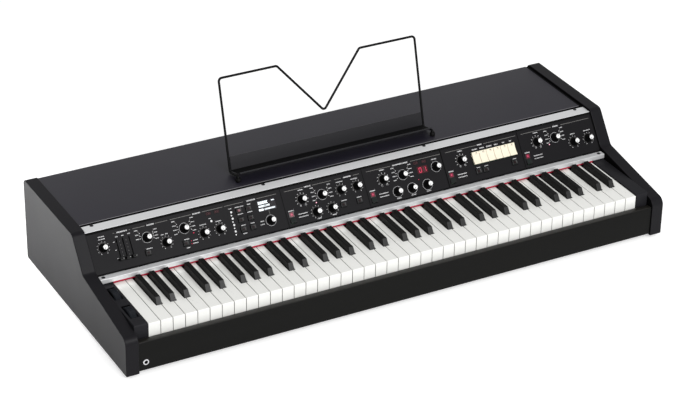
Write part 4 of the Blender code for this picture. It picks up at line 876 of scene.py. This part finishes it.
# Headings in millimetres: a rule, the middle and length of a word, and a rule
header_up, rule_width, header_height = 0.0678, 0.0006, 0.0022
headings = ((-481.5, -478.5, -464.5, 20.5, -450.5, -448.0),
            (-443.5, -420.0, -409.0, 14.5, -399.5, -375.5),
            (-370.5, -329.0, -318.5, 15.5, -307.5, -266.0),
            (-262.5, -224.5, -209.0, 18.0, -197.5, -157.5),
            (-141.0, -102.5, -93.0, 14.0, -83.0, -43.5),
            (-36.5, -22.5, -10.0, 15.5, 2.5, 15.5),
            (30.5, 82.0, 103.0, 33.0, 125.0, 190.0),
            (201.5, 269.5, 276.5, 10.5, 285.5, 357.5),
            (369.5, 438.5, 448.0, 12.0, 460.0, 525.0))
for left_from, left_to, middle, length, right_from, right_to in headings:
    for start, end in ((left_from, left_to), (right_from, right_to)):
        dash((start + end) * 0.0005, header_up, (end - start) * 0.001, rule_width, GREY)
    word(middle * 0.001, header_up, length * 0.001, header_height)

seam_widths = (0.0010, 0.0010, 0.0020, 0.0014)
seam_left = plate_high.x - len(seam_widths) * module_pitch
for number, width in enumerate(seam_widths):
    dash(seam_left + number * module_pitch, (plate_low_end + plate_high_end) / 2, width,
         plate_high_end - plate_low_end, BLACK)

buttons = ((-0.2375, 0.0542), (-0.2180, 0.0542), (-0.2375, 0.0368), (-0.2180, 0.0368),
           (-0.2375, 0.0192), (-0.2180, 0.0192), (-0.4260, 0.0196), (-0.3524, 0.0196),
           (-0.0321, 0.0190), (0.0019, 0.0190), (0.2600, 0.0187), (0.2760, 0.0187),
           (0.3401, 0.0187))
# A column of large and small white spots by the menu, one spot by a knob, and a short stem
lamp_row = 0.0119
lamp_columns = ((-0.2522, 0.0004, 0.0545, 0.0020),   # place of the first, lean, up, radius
                (-0.2534, 0.0003, 0.0485, 0.0013))
for number in range(4):
    for x, lean, up, radius in lamp_columns:
        spot_mark(x - lean * number, up - lamp_row * number, radius)
spot_mark(-0.2939, 0.0476, 0.0021)
dash(-0.1794, 0.0373, 0.0005, 0.0086, GREY)

slider_places = (-0.4785, -0.4664, -0.4538)
slider_scale_x, slider_scale_ups = -0.4835, (0.0525, 0.0377, 0.0225)
slider_foot_marks, slider_foot_up = (-0.4755, -0.4638, -0.4508), 0.0223
between_sliders, dot_start, dot_step, dot_radius = 0.0060, 0.0255, 0.0065, 0.00050
for up in slider_scale_ups:
    dash(slider_scale_x, up, 0.0030, 0.0009)
for x in slider_foot_marks:
    dash(x, slider_foot_up, 0.0034, 0.0010)
for x in slider_places[:2]:
    for i in range(5):
        spot_mark(x + between_sliders, dot_start + dot_step * i, dot_radius, GREY)
tab_pitch, tab_left = 0.0159, 0.2535
tab_middles = [tab_left + (i + 0.5) * tab_pitch for i in range(6)]
tab_word_right, tab_word_up, tab_word_height = 0.0025, 0.0608, 0.0021
tab_word_lengths = (0.0120, 0.0104, 0.0120, 0.0086, 0.0052, 0.0052)
for x, length in zip(tab_middles, tab_word_lengths):
    word(x + tab_word_right, tab_word_up, length, tab_word_height)
print_bm.transform(panel_place)
put("panel_print", print_bm, [white_ink, grey_ink, dim_red_ink, black_ink], "case", "control_plate")

# Flat black strips along the plate's lower, upper and right edges and in the gaps beyond its ends:
# painted shade in the seams
shade_strip_width, shade_strip_proud, shade_strip_gap = 0.0018, 0.00025, 0.0001
panel_length = (upper_low.y - panel_origin.y) / math.cos(panel_slope)
bm = bmesh.new()
for left, start, end, low, high in (
        (plate_low.x, plate_high_end + shade_strip_gap, panel_length - 2 * shade_strip_gap, -0.0030, -0.0010),
        (plate_low.x, 0.0, plate_low_end - shade_strip_gap, -0.0010, -0.0001),
        (plate_low.x, plate_low_end, plate_low_end + shade_strip_width, hair, shade_strip_proud),
        (plate_low.x, plate_high_end - shade_strip_width, plate_high_end, hair, shade_strip_proud),
        (plate_high.x - shade_strip_width, plate_low_end, plate_high_end, hair, shade_strip_proud)):
    slab(bm, (left, start, low), (plate_high.x, end, high))
bm.transform(panel_place)
put("panel_seal", bm, painted_shade_black, "case", "rubber")


# Displays
# Two windows flush with the plate: smoked acrylic over rows of pale characters, and red acrylic
# over two figures of red segments.
smoked = finish("smoked_acrylic", (0.008, 0.006, 0.009), 0.08, grain=200, bump=0.005, mottle=0.1)


def glowing(name, colour, strength, rough=0.3):
    """A lit plastic: its own colour, brightened a little from inside."""
    made = finish(name, colour, rough, grain=700, bump=0.02, mottle=0.08)
    shader = made.node_tree.nodes["Principled BSDF"]
    shader.inputs["Emission Color"].default_value = (*colour, 1)
    shader.inputs["Emission Strength"].default_value = strength
    return made


pale_glow = glowing("pale_display_glow", (0.78, 0.84, 0.88), 0.60)
dim_glow = glowing("dim_display_glow", (0.20, 0.21, 0.23), 0.30)
red_glow = glowing("red_segment_glow", (0.42, 0.012, 0.050), 0.80)
red_unlit = glowing("red_segment_unlit", (0.048, 0.002, 0.007), 0.15)
red_window = glowing("red_acrylic", (0.045, 0.0015, 0.0050), 0.35, 0.12)
menu_window = (-0.1807, 0.0524, 0.0374, 0.0198)      # middle, width and height
digit_window = (0.1457, 0.0473, 0.0220, 0.0134)
figure_lift, text_lift = 0.00006, 0.00010
figure_width, figure_height, figure_stroke, figure_shift = 0.0058, 0.0098, 0.0012, 0.0048
for name, coat, (x, up, width, height) in (("menu_window", smoked, menu_window),
                                           ("digit_window", red_window, digit_window)):
    bm = bmesh.new()
    slab(bm, (x - width / 2, up - height / 2, -0.0003), (x + width / 2, up + height / 2, hair))
    bm.transform(panel_place)
    put(name, bm, coat, "case", "black_plastic", edge=0.0002, segments=2)

segments_on = {"0": "abcdef", "1": "bc"}
segment_places = {"a": (0, 1, 1), "b": (0.5, 0.5, 0), "c": (0.5, -0.5, 0), "d": (0, -1, 1),
                  "e": (-0.5, -0.5, 0), "f": (-0.5, 0.5, 0), "g": (0, 0, 1)}


def figure(bm, digit, x, up, width, height, stroke):
    """One figure made of seven bars, of which the ones that are off are dark."""
    for name, (u, v, flat) in segment_places.items():
        dash(x + u * (width - stroke), up + v * (height - stroke) / 2,
             width - stroke if flat else stroke, stroke if flat else height / 2 - stroke,
             0 if name in segments_on[digit] else 1, 0, bm, figure_lift)


bm = bmesh.new()
for digit, shift in (("0", -figure_shift), ("1", figure_shift)):
    figure(bm, digit, digit_window[0] + shift, digit_window[1], figure_width, figure_height,
           figure_stroke)
bm.transform(panel_place)
put("red_figures", bm, [red_glow, red_unlit], "case", "black_plastic")
bm = bmesh.new()
for x, up, length, height in ((-0.1871, 0.0583, 0.0205, 0.0052), (-0.1862, 0.0519, 0.0225, 0.0033),
                              (-0.1672, 0.0593, 0.0060, 0.0020), (-0.1762, 0.0456, 0.0205, 0.0022)):
    word(x, up, length, height, 0, bm, text_lift)
dash(-0.1937, 0.0456, 0.0090, 0.0036, 0, 0, bm, figure_lift)
dash(-0.1764, 0.0456, 0.0225, 0.0036, 1, 0, bm, figure_lift)
bm.transform(panel_place)
put("pale_figures", bm, [pale_glow, dim_glow], "case", "black_plastic")

red_lamp_bm, white_lamp_bm = bmesh.new(), bmesh.new()
lamp_dome = ((0.0011, 0.00002), (0.0011, 0.0005), (0.0008, 0.0009), (0.0004, 0.0011), (0, 0.0011))
for x, up, size, lamps in ((-0.3328, 0.0348, 1.0, red_lamp_bm),
                           (-0.0837, 0.0347, 1.0, white_lamp_bm),
                           (0.4249, 0.0357, 1.0, white_lamp_bm), (0.1322, 0.0307, 0.7, red_lamp_bm),
                           (-0.3410, 0.0217, 0.7, red_lamp_bm),
                           (-0.3414, 0.0164, 0.7, red_lamp_bm)):
    turned(lamps, [(radius * size, height * size) for radius, height in lamp_dome], 20, (x, up, 0))
for name, lamps, coat in (("red_lamps", red_lamp_bm, red_glow),
                          ("bright_lamps", white_lamp_bm,
                           glowing("bright_lamp", (0.80, 0.40, 0.48), 1.0))):
    lamps.transform(panel_place)
    put(name, lamps, coat, "case", "black_plastic")


# Knobs
# Twenty-four push-on knobs of soft matt black plastic with a flared skirt, each with a pale
# moulded cap and a dark index mark. They share one mould.
knob_sides, knob_flutes, knob_flute_depth = 64, 16, 0.00022
knob_bore, knob_bore_top = 0.0032, 0.0118
knob_low, knob_height = 0.0006, 0.0150
knob_skirt, knob_body, knob_cap = 0.0080, 0.0066, 0.0041
index_width, index_start = 0.0010, 0.0006
knob_black = finish("soft_matt_knob", (0.0018, 0.0018, 0.0020), 0.60, grain=1200, bump=0.10,
                    mottle=0.15, gloss=0.08)
cap_white = finish("pale_knob_cap", (0.80, 0.80, 0.80), 0.34, grain=800, bump=0.03, mottle=0.03)
index_black = finish("index_mark", (0.03, 0.03, 0.035), 0.5, grain=1500, bump=0.05)


def knob_mesh():
    """The shared knob, standing on the panel with its index mark pointing up the slope."""
    bm = bmesh.new()
    rows = [(knob_bore, knob_bore_top, 0), (knob_bore, knob_low, 0),
            (knob_skirt - 0.0003, knob_low, 0),
            (knob_skirt, knob_low + 0.0004, 0), (knob_skirt, knob_low + 0.0018, 0),
            (knob_skirt - 0.0004, knob_low + 0.0023, 0), (knob_body + 0.0003, knob_low + 0.0029, 0),
            (knob_body, knob_low + 0.0036, 1), (knob_cap + 0.0009, knob_height - 0.0026, 1),
            (knob_cap + 0.0007, knob_height - 0.0010, 0),
            (knob_cap + 0.0003, knob_height - 0.0007, 0)]
    rings = []
    for radius, height, fluted in rows:
        ring = []
        for i, (cos, sin) in enumerate(circle(knob_sides)):
            flute = (1 - math.cos(knob_flutes * 2 * math.pi * i / knob_sides)) / 2
            reach = radius - knob_flute_depth * flute * fluted
            ring.append(bm.verts.new((reach * cos, reach * sin, height)))
        rings.append(ring)
    bridge(bm, rings)
    turned(bm, ((knob_cap + 0.0003, knob_height - 0.0007),
                (knob_cap + 0.0002, knob_height - 0.0004),
                (knob_cap - 0.0002, knob_height - 0.0001), (knob_cap * 0.55, knob_height),
                (0, knob_height)), knob_sides, material_indices=[1, 1, 1, 1])
    slab(bm, (-index_width / 2, index_start, knob_height - 0.0004),
         (index_width / 2, knob_cap * 0.86, knob_height + 0.00004), 2)
    bmesh.ops.recalc_face_normals(bm, faces=bm.faces)
    mesh = bpy.data.meshes.new("knob")
    bm.to_mesh(mesh)
    bm.free()
    for coat in (knob_black, cap_white, index_black):
        mesh.materials.append(coat)
    mesh.shade_smooth()
    mesh.set_sharp_from_angle(angle=math.radians(40))
    return mesh


shared_knob = knob_mesh()
for node, joint in joint_of.items():
    if not any(kind in node for kind in ("knob", "selector", "encoder")):
        continue
    travel = joint.get("range_deg", [0, 300])
    rest_turn = math.radians((travel[0] + travel[1]) / 2)
    cap = bpy.data.objects.new(node + "_moulding", shared_knob)
    bpy.context.scene.collection.objects.link(cap)
    cap.matrix_world = (Matrix.Translation(Vector(joint["pos_m"])) @ panel_turn
                        @ Matrix.Rotation(rest_turn, 4, "Z"))
    fit_out(cap, node, "knob", node)


# Push buttons
# Square keys of black plastic with a soft raised rim round a dark lens; the first one is on and its
# lens is lit red.
button_width, button_length, button_proud = 0.0110, 0.0100, 0.0030
button_foot, button_corner = -0.0062, 0.0012
button_plastic = finish("button_plastic", (0.0028, 0.0028, 0.0030), 0.40, grain=1100, bump=0.10,
                        gloss=0.30)
lens_dark = finish("unlit_button_lens", (0.0095, 0.0026, 0.0036), 0.45, grain=900, bump=0.03,
                   gloss=0.12)
lens_lit = glowing("lit_button_lens", (0.085, 0.004, 0.014), 0.45)
bm = bmesh.new()
for number, (x, up) in enumerate(buttons):
    rings = []
    for inset, level in ((0, button_foot), (0, button_proud - 0.0008),
                         (0.0003, button_proud - 0.0002),
                         (0.0009, button_proud), (0.0016, button_proud - 0.0003),
                         (0.0030, button_proud - 0.0005)):
        wide, long = button_width / 2 - inset, button_length / 2 - inset
        outline = soft_outline([((a * wide, b * long), button_corner) for a, b in
                                ((-1, -1), (1, -1), (1, 1), (-1, 1))], steps=4)
        rings.append([bm.verts.new((x + p.x, up + p.y, level)) for p in outline])
    bridge(bm, rings)
    bm.faces.new(rings[-1]).material_index = 2 if number == 0 else 1
    bm.faces.new(rings[0][::-1])
bm.transform(panel_place)
put("square_buttons", bm, [button_plastic, lens_dark, lens_lit], "push_buttons", "black_plastic",
    "push_buttons", keen=30)


# Module switches
# Four rockers of black plastic with a lens in each half: the upper one is clear red and lit, the
# lower one is dark. Each stands at the left of its section.
rocker_width, rocker_length = 0.0110, 0.0212
rocker_tilt = math.radians(6.5)
rocker_rise, rocker_sink = 0.0020, 0.0003
rocker_skirt, rocker_keel = -0.0010, -0.0035
lens_border = 0.0017
lamp_radius = 0.0016
rocker_red = glowing("lit_red_lens", (0.120, 0.004, 0.018), 0.40, rough=0.22)
rocker_spot = glowing("lamp_behind_lens", (0.400, 0.035, 0.090), 0.55, rough=0.22)
rocker_dark = finish("dark_rocker", (0.0035, 0.0045, 0.0043), 0.25, grain=900, bump=0.03)
rocker_clear = finish("clear_rocker_half", (0.0065, 0.0110, 0.0100), 0.25, grain=900, bump=0.03,
                      gloss=0.30)


def tilted(u, v):
    """A point of a rocker's profile, turned to how the rocker stands at rest."""
    cos, sin = math.cos(rocker_tilt), math.sin(rocker_tilt)
    return u * cos + v * sin, v * cos - u * sin


half = rocker_length / 2
end = rocker_rise + half * math.tan(rocker_tilt)
near, far = 0.00005, half
slope = (end - rocker_rise) / (far - near)
lens_near, lens_far = lens_border * 0.6, half - lens_border
body = ((near, rocker_rise - rocker_sink), (far - 0.0003, end - rocker_sink), (far, end - 0.0006),
        (far, rocker_skirt), (far * 0.6, rocker_keel), (near, rocker_keel))
lens = ((lens_near, rocker_rise + slope * lens_near - rocker_sink),
        (lens_near, rocker_rise + slope * lens_near),
        (lens_far, rocker_rise + slope * lens_far),
        (lens_far, rocker_rise + slope * lens_far - rocker_sink))
lamp_middle = (lens_near + lens_far) / 2
for name in rockers:
    bm = bmesh.new()
    for sign in (1, -1):
        for section, reach, material_index in ((body, rocker_width / 2, 1),
                                               (lens, rocker_width / 2 - lens_border,
                                                0 if sign > 0 else 2)):
            drawn_along_x(bm, [tilted(sign * u, v) for u, v in section], -reach, reach,
                          material_index)
    glow = turned(bm, ((lamp_radius, 0), (lamp_radius, 0.00006), (0, 0.00010)), 20,
                  material_indices=[3, 3])
    for v in {v for ring in glow for v in ring}:
        along = lamp_middle + v.co.y
        v.co.y, v.co.z = tilted(along, rocker_rise + slope * along + v.co.z)
    switch = put(name + "_halves", bm, [rocker_red, rocker_dark, rocker_clear, rocker_spot], name,
                 "black_plastic", name, edge=0.0002, segments=2)
    switch.matrix_world = Matrix.Translation(Vector(joint_of[name]["pos_m"])) @ panel_turn


# Rocker tabs
# Six cream tabs in a row that rock on one rod, each dished along its length and raised at its
# lower end, with two printed bars near its top.
tab_plastic = finish("cream_tab_plastic", (0.86, 0.79, 0.63), 0.28, grain=500, bump=0.02,
                     mottle=0.03, coat=0.2)
tab_ink = finish("dark_tab_print", (0.030, 0.022, 0.020), 0.50, grain=3000, bump=0.02)
tab_ink_pale = finish("brown_tab_print", (0.35, 0.27, 0.20), 0.50, grain=3000, bump=0.02)
tab_rod = into_panel @ Vector(joint_of["tab_switches"]["pos_m"])
tab_low_end = 0.0322 - tab_rod.y
tab_high_end = tab_low_end + 0.0238
tab_face, tab_thick = 0.0095, 0.0040
tab_dish, tab_lip = 0.0014, 0.0010
tab_saddle = 0.0020                  # the part that sits on the rod
print_up = tab_low_end + 0.0213
bm, marks = bmesh.new(), bmesh.new()
for x in tab_middles:
    half = tab_pitch / 2 - 0.0004
    outline = [(tab_low_end, tab_face - tab_thick), (tab_low_end, tab_face + 0.0008)]
    for share in [k / 8 for k in range(9)]:
        outline.append((tab_low_end + 0.0006 + share * (tab_high_end - tab_low_end - 0.0012),
                        tab_face + tab_lip * (1 - share) - tab_dish * math.sin(math.pi * share)))
    outline += [(tab_high_end, tab_face - 0.0006), (tab_high_end, tab_face - tab_thick),
                (tab_saddle, tab_face - tab_thick), (tab_saddle - 0.0005, 0.0020),
                (0.0005 - tab_saddle, 0.0020), (-tab_saddle, tab_face - tab_thick)]
    drawn_along_x(bm, outline, x - half, x + half)
    dash(x + 0.0012, print_up, 0.0036, 0.0011, 0, 0, marks, tab_face + 0.00006)
    dash(x + 0.0012, print_up - 0.0024, 0.0052, 0.0004, 1, 0, marks, tab_face - 0.00030)
for made in (bm, marks):
    made.transform(Matrix.Translation((0, tab_rod.y, tab_rod.z)))
    made.transform(panel_place)
put("cream_tabs", bm, tab_plastic, "tab_switches", "cream_plastic", "tab_switches",
    edge=0.0005, segments=3, keen=30)
put("tab_figures", marks, [tab_ink, tab_ink_pale], "tab_switches", "cream_plastic")


# Slider caps
# Three small caps on flat stems, each with a short white mark at the right of its middle; their
# slots are punched in the plate.
slider_width, slider_length, slider_height = 0.0080, 0.0055, 0.0090
slider_up = 0.0200
stem_half = 0.0007
bm = bmesh.new()
for x in slider_places:
    slab(bm, (x - stem_half, slider_up - slider_length / 2, -0.0048),
         (x + stem_half, slider_up + slider_length / 2, 0.0004))
    outline = [(-slider_length / 2, 0.0003), (-slider_length / 2, slider_height - 0.0004),
               (-slider_length * 0.2, slider_height), (0, slider_height - 0.0009),
               (slider_length * 0.2, slider_height), (slider_length / 2, slider_height - 0.0004),
               (slider_length / 2, 0.0003)]
    drawn_along_x(bm, [(slider_up + u, v) for u, v in outline], x - slider_width / 2,
                  x + slider_width / 2)
    slab(bm, (x + slider_width * 0.24, slider_up - 0.0004, slider_height - 0.0010),
         (x + slider_width * 0.42, slider_up + 0.0004, slider_height - 0.0005), 1)
bm.transform(panel_place)
put("slide_caps", bm, [button_plastic, cap_white], "slider_caps", "black_plastic", "slider_caps",
    edge=0.0003, segments=2)


# Music stand
# One steel wire bent into legs and an M-shaped top and coated black. Its arms run forward over
# the cover and drop into two rubber spacers; a folded sheet carries the books.
wire_radius = 0.00225
wire_low, wire_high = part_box("music_stand_frame")
stand_lean = math.radians(15)
stand_half = wire_high.x - wire_radius
stand_height, stand_top_run, stand_notch = 0.179, 0.119, 0.076
stand_arm, stand_arm_rise = 0.0344, 0.0090
stand_plug, arm_bend, foot_bend, top_bend, notch_bend = 0.0018, 0.0035, 0.006, 0.0065, 0.0055
stand_plug_y = wire_low.y + wire_radius
stand_foot = Vector((0, stand_plug_y + stand_arm, lid_top + 0.0003 + wire_radius))
stand_coat = finish("stand_coating", (0.0022, 0.0022, 0.0025), 0.45, grain=1000, bump=0.08,
                    mottle=0.15, gloss=0.12)
shelf_coat = finish("shelf_coating", (0.0075, 0.0072, 0.0095), 0.46, grain=1000, bump=0.08,
                    mottle=0.15, gloss=0.25)


def on_stand(x, along):
    """A place on the leaning plane of the wire."""
    return Vector((x, stand_foot.y + along * math.sin(stand_lean),
                   stand_foot.z + along * math.cos(stand_lean)))


corners = []
for side in (-1, 1):
    x = side * stand_half
    leg = [(Vector((x, stand_plug_y, lid_top + stand_plug)), 0),
           (Vector((x, stand_plug_y, stand_foot.z + stand_arm_rise)), arm_bend),
           (on_stand(x, 0), foot_bend),
           (on_stand(x, stand_height), top_bend),
           (on_stand(side * (stand_half - stand_top_run), stand_height), top_bend)]
    corners += leg + [(on_stand(0, stand_notch), notch_bend)] if side < 0 else leg[::-1]
route = soft_outline(corners, steps=10, closed=False)
wire = bpy.data.curves.new("stand_wire", "CURVE")
wire.dimensions = "3D"
wire.bevel_depth = wire_radius
wire.bevel_resolution = 6
wire.use_fill_caps = True
run = wire.splines.new("POLY")
run.points.add(len(route) - 1)
for target, point in zip(run.points, route):
    target.co = (*point, 1)
run.use_smooth = True
wire.materials.append(stand_coat)
stand_wire = bpy.data.objects.new("stand_wire", wire)
bpy.context.scene.collection.objects.link(stand_wire)
fit_out(stand_wire, "case", "black_sheet", "music_stand_frame")

shelf_sheet = 0.0015
shelf_back, shelf_depth, shelf_lip = 0.028, 0.038, 0.004
shelf_low, shelf_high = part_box("music_stand_shelf")
start = Vector(on_stand(0, wire_radius)[1:])
upward = Vector((math.sin(stand_lean), math.cos(stand_lean)))
forward = Vector((-math.cos(stand_lean), math.sin(stand_lean)))
bm = bmesh.new()
shelf_faces = drawn_along_x(bm, soft_outline([
    (start + upward * up + forward * out, radius) for up, out, radius in (
        (0, 0, 0.0022), (shelf_back, 0, 0.0004), (shelf_back, shelf_sheet, 0.0004),
        (shelf_sheet, shelf_sheet, 0.0010), (shelf_sheet, shelf_depth - shelf_sheet, 0.0008),
        (shelf_lip, shelf_depth - shelf_sheet, 0.0004), (shelf_lip, shelf_depth, 0.0004),
        (0, shelf_depth, 0.0020))], steps=5), shelf_low.x, shelf_high.x)
# Only the sheet's back keeps its coat; the fold, tray and lip take flat black as painted shade.
for face in shelf_faces:
    on_back = face.calc_center_median().z > stand_foot.z + shelf_back * 0.4
    face.material_index = 0 if on_back else 1
put("stand_shelf", bm, [shelf_coat, painted_shade_black], "case", "black_sheet", "music_stand_shelf",
    edge=0.0003, segments=2)

spacer_radius, spacer_height = 0.0050, 0.0075
bm = bmesh.new()
for side in (-1, 1):
    turned(bm, ((0, 0.0002), (spacer_radius * 0.94, 0.0002), (spacer_radius, 0.0008),
                (spacer_radius, spacer_height * 0.78), (spacer_radius * 0.82, spacer_height),
                (wire_radius + 0.0004, spacer_height), (wire_radius + 0.0003, 0.0010), (0, 0.0010)),
           40, (side * stand_half, stand_plug_y, lid_top))
spacer_rubber = finish("spacer_rubber", (0.0030, 0.0030, 0.0032), 0.60, grain=1200, bump=0.20,
                       gloss=0.15)
put("stand_spacers", bm, spacer_rubber, "case", "rubber", keen=30)


# Headphone socket
# A turned jack socket with a polished ring nut at the bass end of the front rail.
socket_low, socket_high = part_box("headphone_socket")
socket_middle = (socket_low + socket_high) / 2
ring_radius = (socket_high.x - socket_low.x) / 2
bore_radius, bore_depth = 0.0033, 0.0100
chrome = finish("polished_chrome", (0.72, 0.72, 0.74), 0.10, metal=1.0, grain=300, bump=0.01,
                mottle=0.02, rough_play=0.03)
socket_dark = finish("socket_bore", (0.006, 0.006, 0.006), 0.5, grain=900, bump=0.05)
bm = bmesh.new()
turned(bm, ((ring_radius, 0.0002), (ring_radius, 0.0009), (ring_radius * 0.92, 0.0015),
            (ring_radius * 0.78, 0.0018), (ring_radius * 0.64, 0.0018), (bore_radius, 0.0014),
            (bore_radius, -bore_depth), (0, -bore_depth)), 56,
       (socket_middle.x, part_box("front_rail")[0].y, socket_middle.z),
       Matrix.Rotation(math.pi / 2, 3, "X"),
       [0, 0, 0, 0, 0, 1, 1])
put("headphone_ring", bm, [chrome, socket_dark], "case", "chrome", "headphone_socket", keen=30)


# Rear connectors
# A plated steel panel set back in the rear wall with moulded jack sockets, two round sockets, a
# square data socket and the mains inlet.
rear_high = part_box("rear_connectors")[1]
connector_coat = finish("connector_plate_coat", (0.05, 0.05, 0.052), 0.42, metal=0.2, grain=1200,
                        bump=0.10)
eased_copy("connector_plate", "rear_connectors", "case", connector_coat, "steel", 0.0003)
pin_metal = finish("socket_pins", (0.70, 0.62, 0.42), 0.25, metal=1.0, grain=400, bump=0.02)
jack_places = (-0.300, -0.280, -0.255, -0.235, -0.210, -0.190)
round_sockets, pin_circle = (-0.358, -0.332), 0.0050
inlet_pins = ((-0.4730, 0), (-0.4590, 0), (-0.4660, 0.0035))
connector_height = 0.085
rear_turn = Matrix.Rotation(-math.pi / 2, 3, "X")
bm = bmesh.new()
for x in jack_places:
    turned(bm, ((0.0034, 0), (0.0034, 0.0022), (0.0039, 0.0026), (0.0054, 0.0026), (0.0062, 0.0020),
                (0.0062, 0)), 48, (x, rear_high.y - 0.0012, connector_height), rear_turn)
put("jack_nuts", bm, chrome, "case", "chrome", keen=30)
bm = bmesh.new()
for x in round_sockets:
    for a in [math.radians(180 + 45 * i) for i in range(5)]:
        turned(bm, ((0.0007, 0), (0.0007, 0.0060), (0, 0.0064)), 12,
               (x + pin_circle * math.cos(a), rear_high.y - 0.0098,
                connector_height + pin_circle * math.sin(a)), rear_turn)
for x, z in inlet_pins:
    slab(bm, (x - 0.0008, rear_high.y - 0.0148, connector_height + z - 0.0020),
         (x + 0.0008, rear_high.y - 0.0040, connector_height + z + 0.0020))
put("socket_pins", bm, pin_metal, "case", "chrome", edge=0.0002, segments=2)
eased_copy("mains_rocker", "power_switch", "power_switch", button_plastic, "black_plastic", 0.0004)


# Floor, light and camera
# A plain white studio floor that runs out of sight, one broad soft lamp in front and above, a weak
# low one on the floor beyond the left end, and the camera where the photograph was taken from.
bm = bmesh.new()
bmesh.ops.create_grid(bm, x_segments=1, y_segments=1, size=30)
studio_white = bpy.data.materials.new("studio_floor")
studio_white.use_nodes = True
tree = studio_white.node_tree
shader = tree.nodes["Principled BSDF"].inputs
shader["Base Color"].default_value = (0.80, 0.80, 0.80, 1)
shader["Roughness"].default_value = 0.9
shader["Emission Color"].default_value = (1, 1, 1, 1)
ray = add_node(tree, "LightPath", {}).outputs
seen = add_node(tree, "Math", {0: ray["Is Camera Ray"], 1: ray["Is Glossy Ray"]},
                operation="MAXIMUM")
through = add_node(tree, "Math", {0: seen.outputs["Value"], 1: ray["Is Transmission Ray"]},
                   operation="MAXIMUM")
lift = add_node(tree, "Math", {0: through.outputs["Value"], 1: 0.45}, operation="MULTIPLY")
tree.links.new(lift.outputs["Value"], shader["Emission Strength"])
piece("studio_floor", bm, studio_white)

world = bpy.data.worlds.new("studio")
world.use_nodes = True
background = world.node_tree.nodes["Background"].inputs
background["Color"].default_value = (1, 1, 1, 1)
background["Strength"].default_value = 0.56
bpy.context.scene.world = world


def soft_lamp(name, place, aim, size, power, spread=180):
    """A rectangular lamp that points from its place at its aim."""
    light = bpy.data.lights.new(name, "AREA")
    light.spread = math.radians(spread)
    light.shape = "RECTANGLE"
    light.size, light.size_y = size
    light.energy = power
    lamp = bpy.data.objects.new(name, light)
    lamp.location = place
    lamp.rotation_euler = (Vector(aim) - Vector(place)).to_track_quat("-Z", "Y").to_euler()
    bpy.context.scene.collection.objects.link(lamp)


soft_lamp("front_lamp", (0.15, -2.80, 2.00), (0, 0, 0.1), (2.0, 1.5), 87)
soft_lamp("rear_floor_lamp", (-1.15, 0.50, 0.45), (-1.15, 0.49, 0), (0.7, 0.9), 13, 118)

film_width = 36
photo_width, lens_pixels = 684, 2370.1
centre_shift = (-0.40, 1.65)
aim_point = Vector((-0.00525, -0.060, 0.065))
camera_azimuth, camera_elevation, camera_roll = -0.50146, 0.51013, 0.017835
camera_distance, camera_right, camera_up = 4.4054, -0.03715, 0.04889
look = Vector((-math.sin(camera_azimuth) * math.cos(camera_elevation),
               math.cos(camera_azimuth) * math.cos(camera_elevation), -math.sin(camera_elevation)))
level = Vector((math.cos(camera_azimuth), math.sin(camera_azimuth), 0))
rise = level.cross(look)
right = math.cos(camera_roll) * level + math.sin(camera_roll) * rise
upright = -math.sin(camera_roll) * level + math.cos(camera_roll) * rise
camera_data = bpy.data.cameras.new("camera")
camera_data.sensor_width = film_width
camera_data.lens = film_width * lens_pixels / photo_width
camera_data.shift_x = -centre_shift[0] / photo_width
camera_data.shift_y = centre_shift[1] / photo_width
camera = bpy.data.objects.new("camera", camera_data)
place = aim_point - look * camera_distance + right * camera_right + upright * camera_up
camera_turn = Matrix((right, upright, -look)).transposed().to_4x4()
camera.matrix_world = Matrix.Translation(place) @ camera_turn
bpy.context.scene.collection.objects.link(camera)
bpy.context.scene.camera = camera
bpy.context.scene.view_settings.view_transform = "Standard"
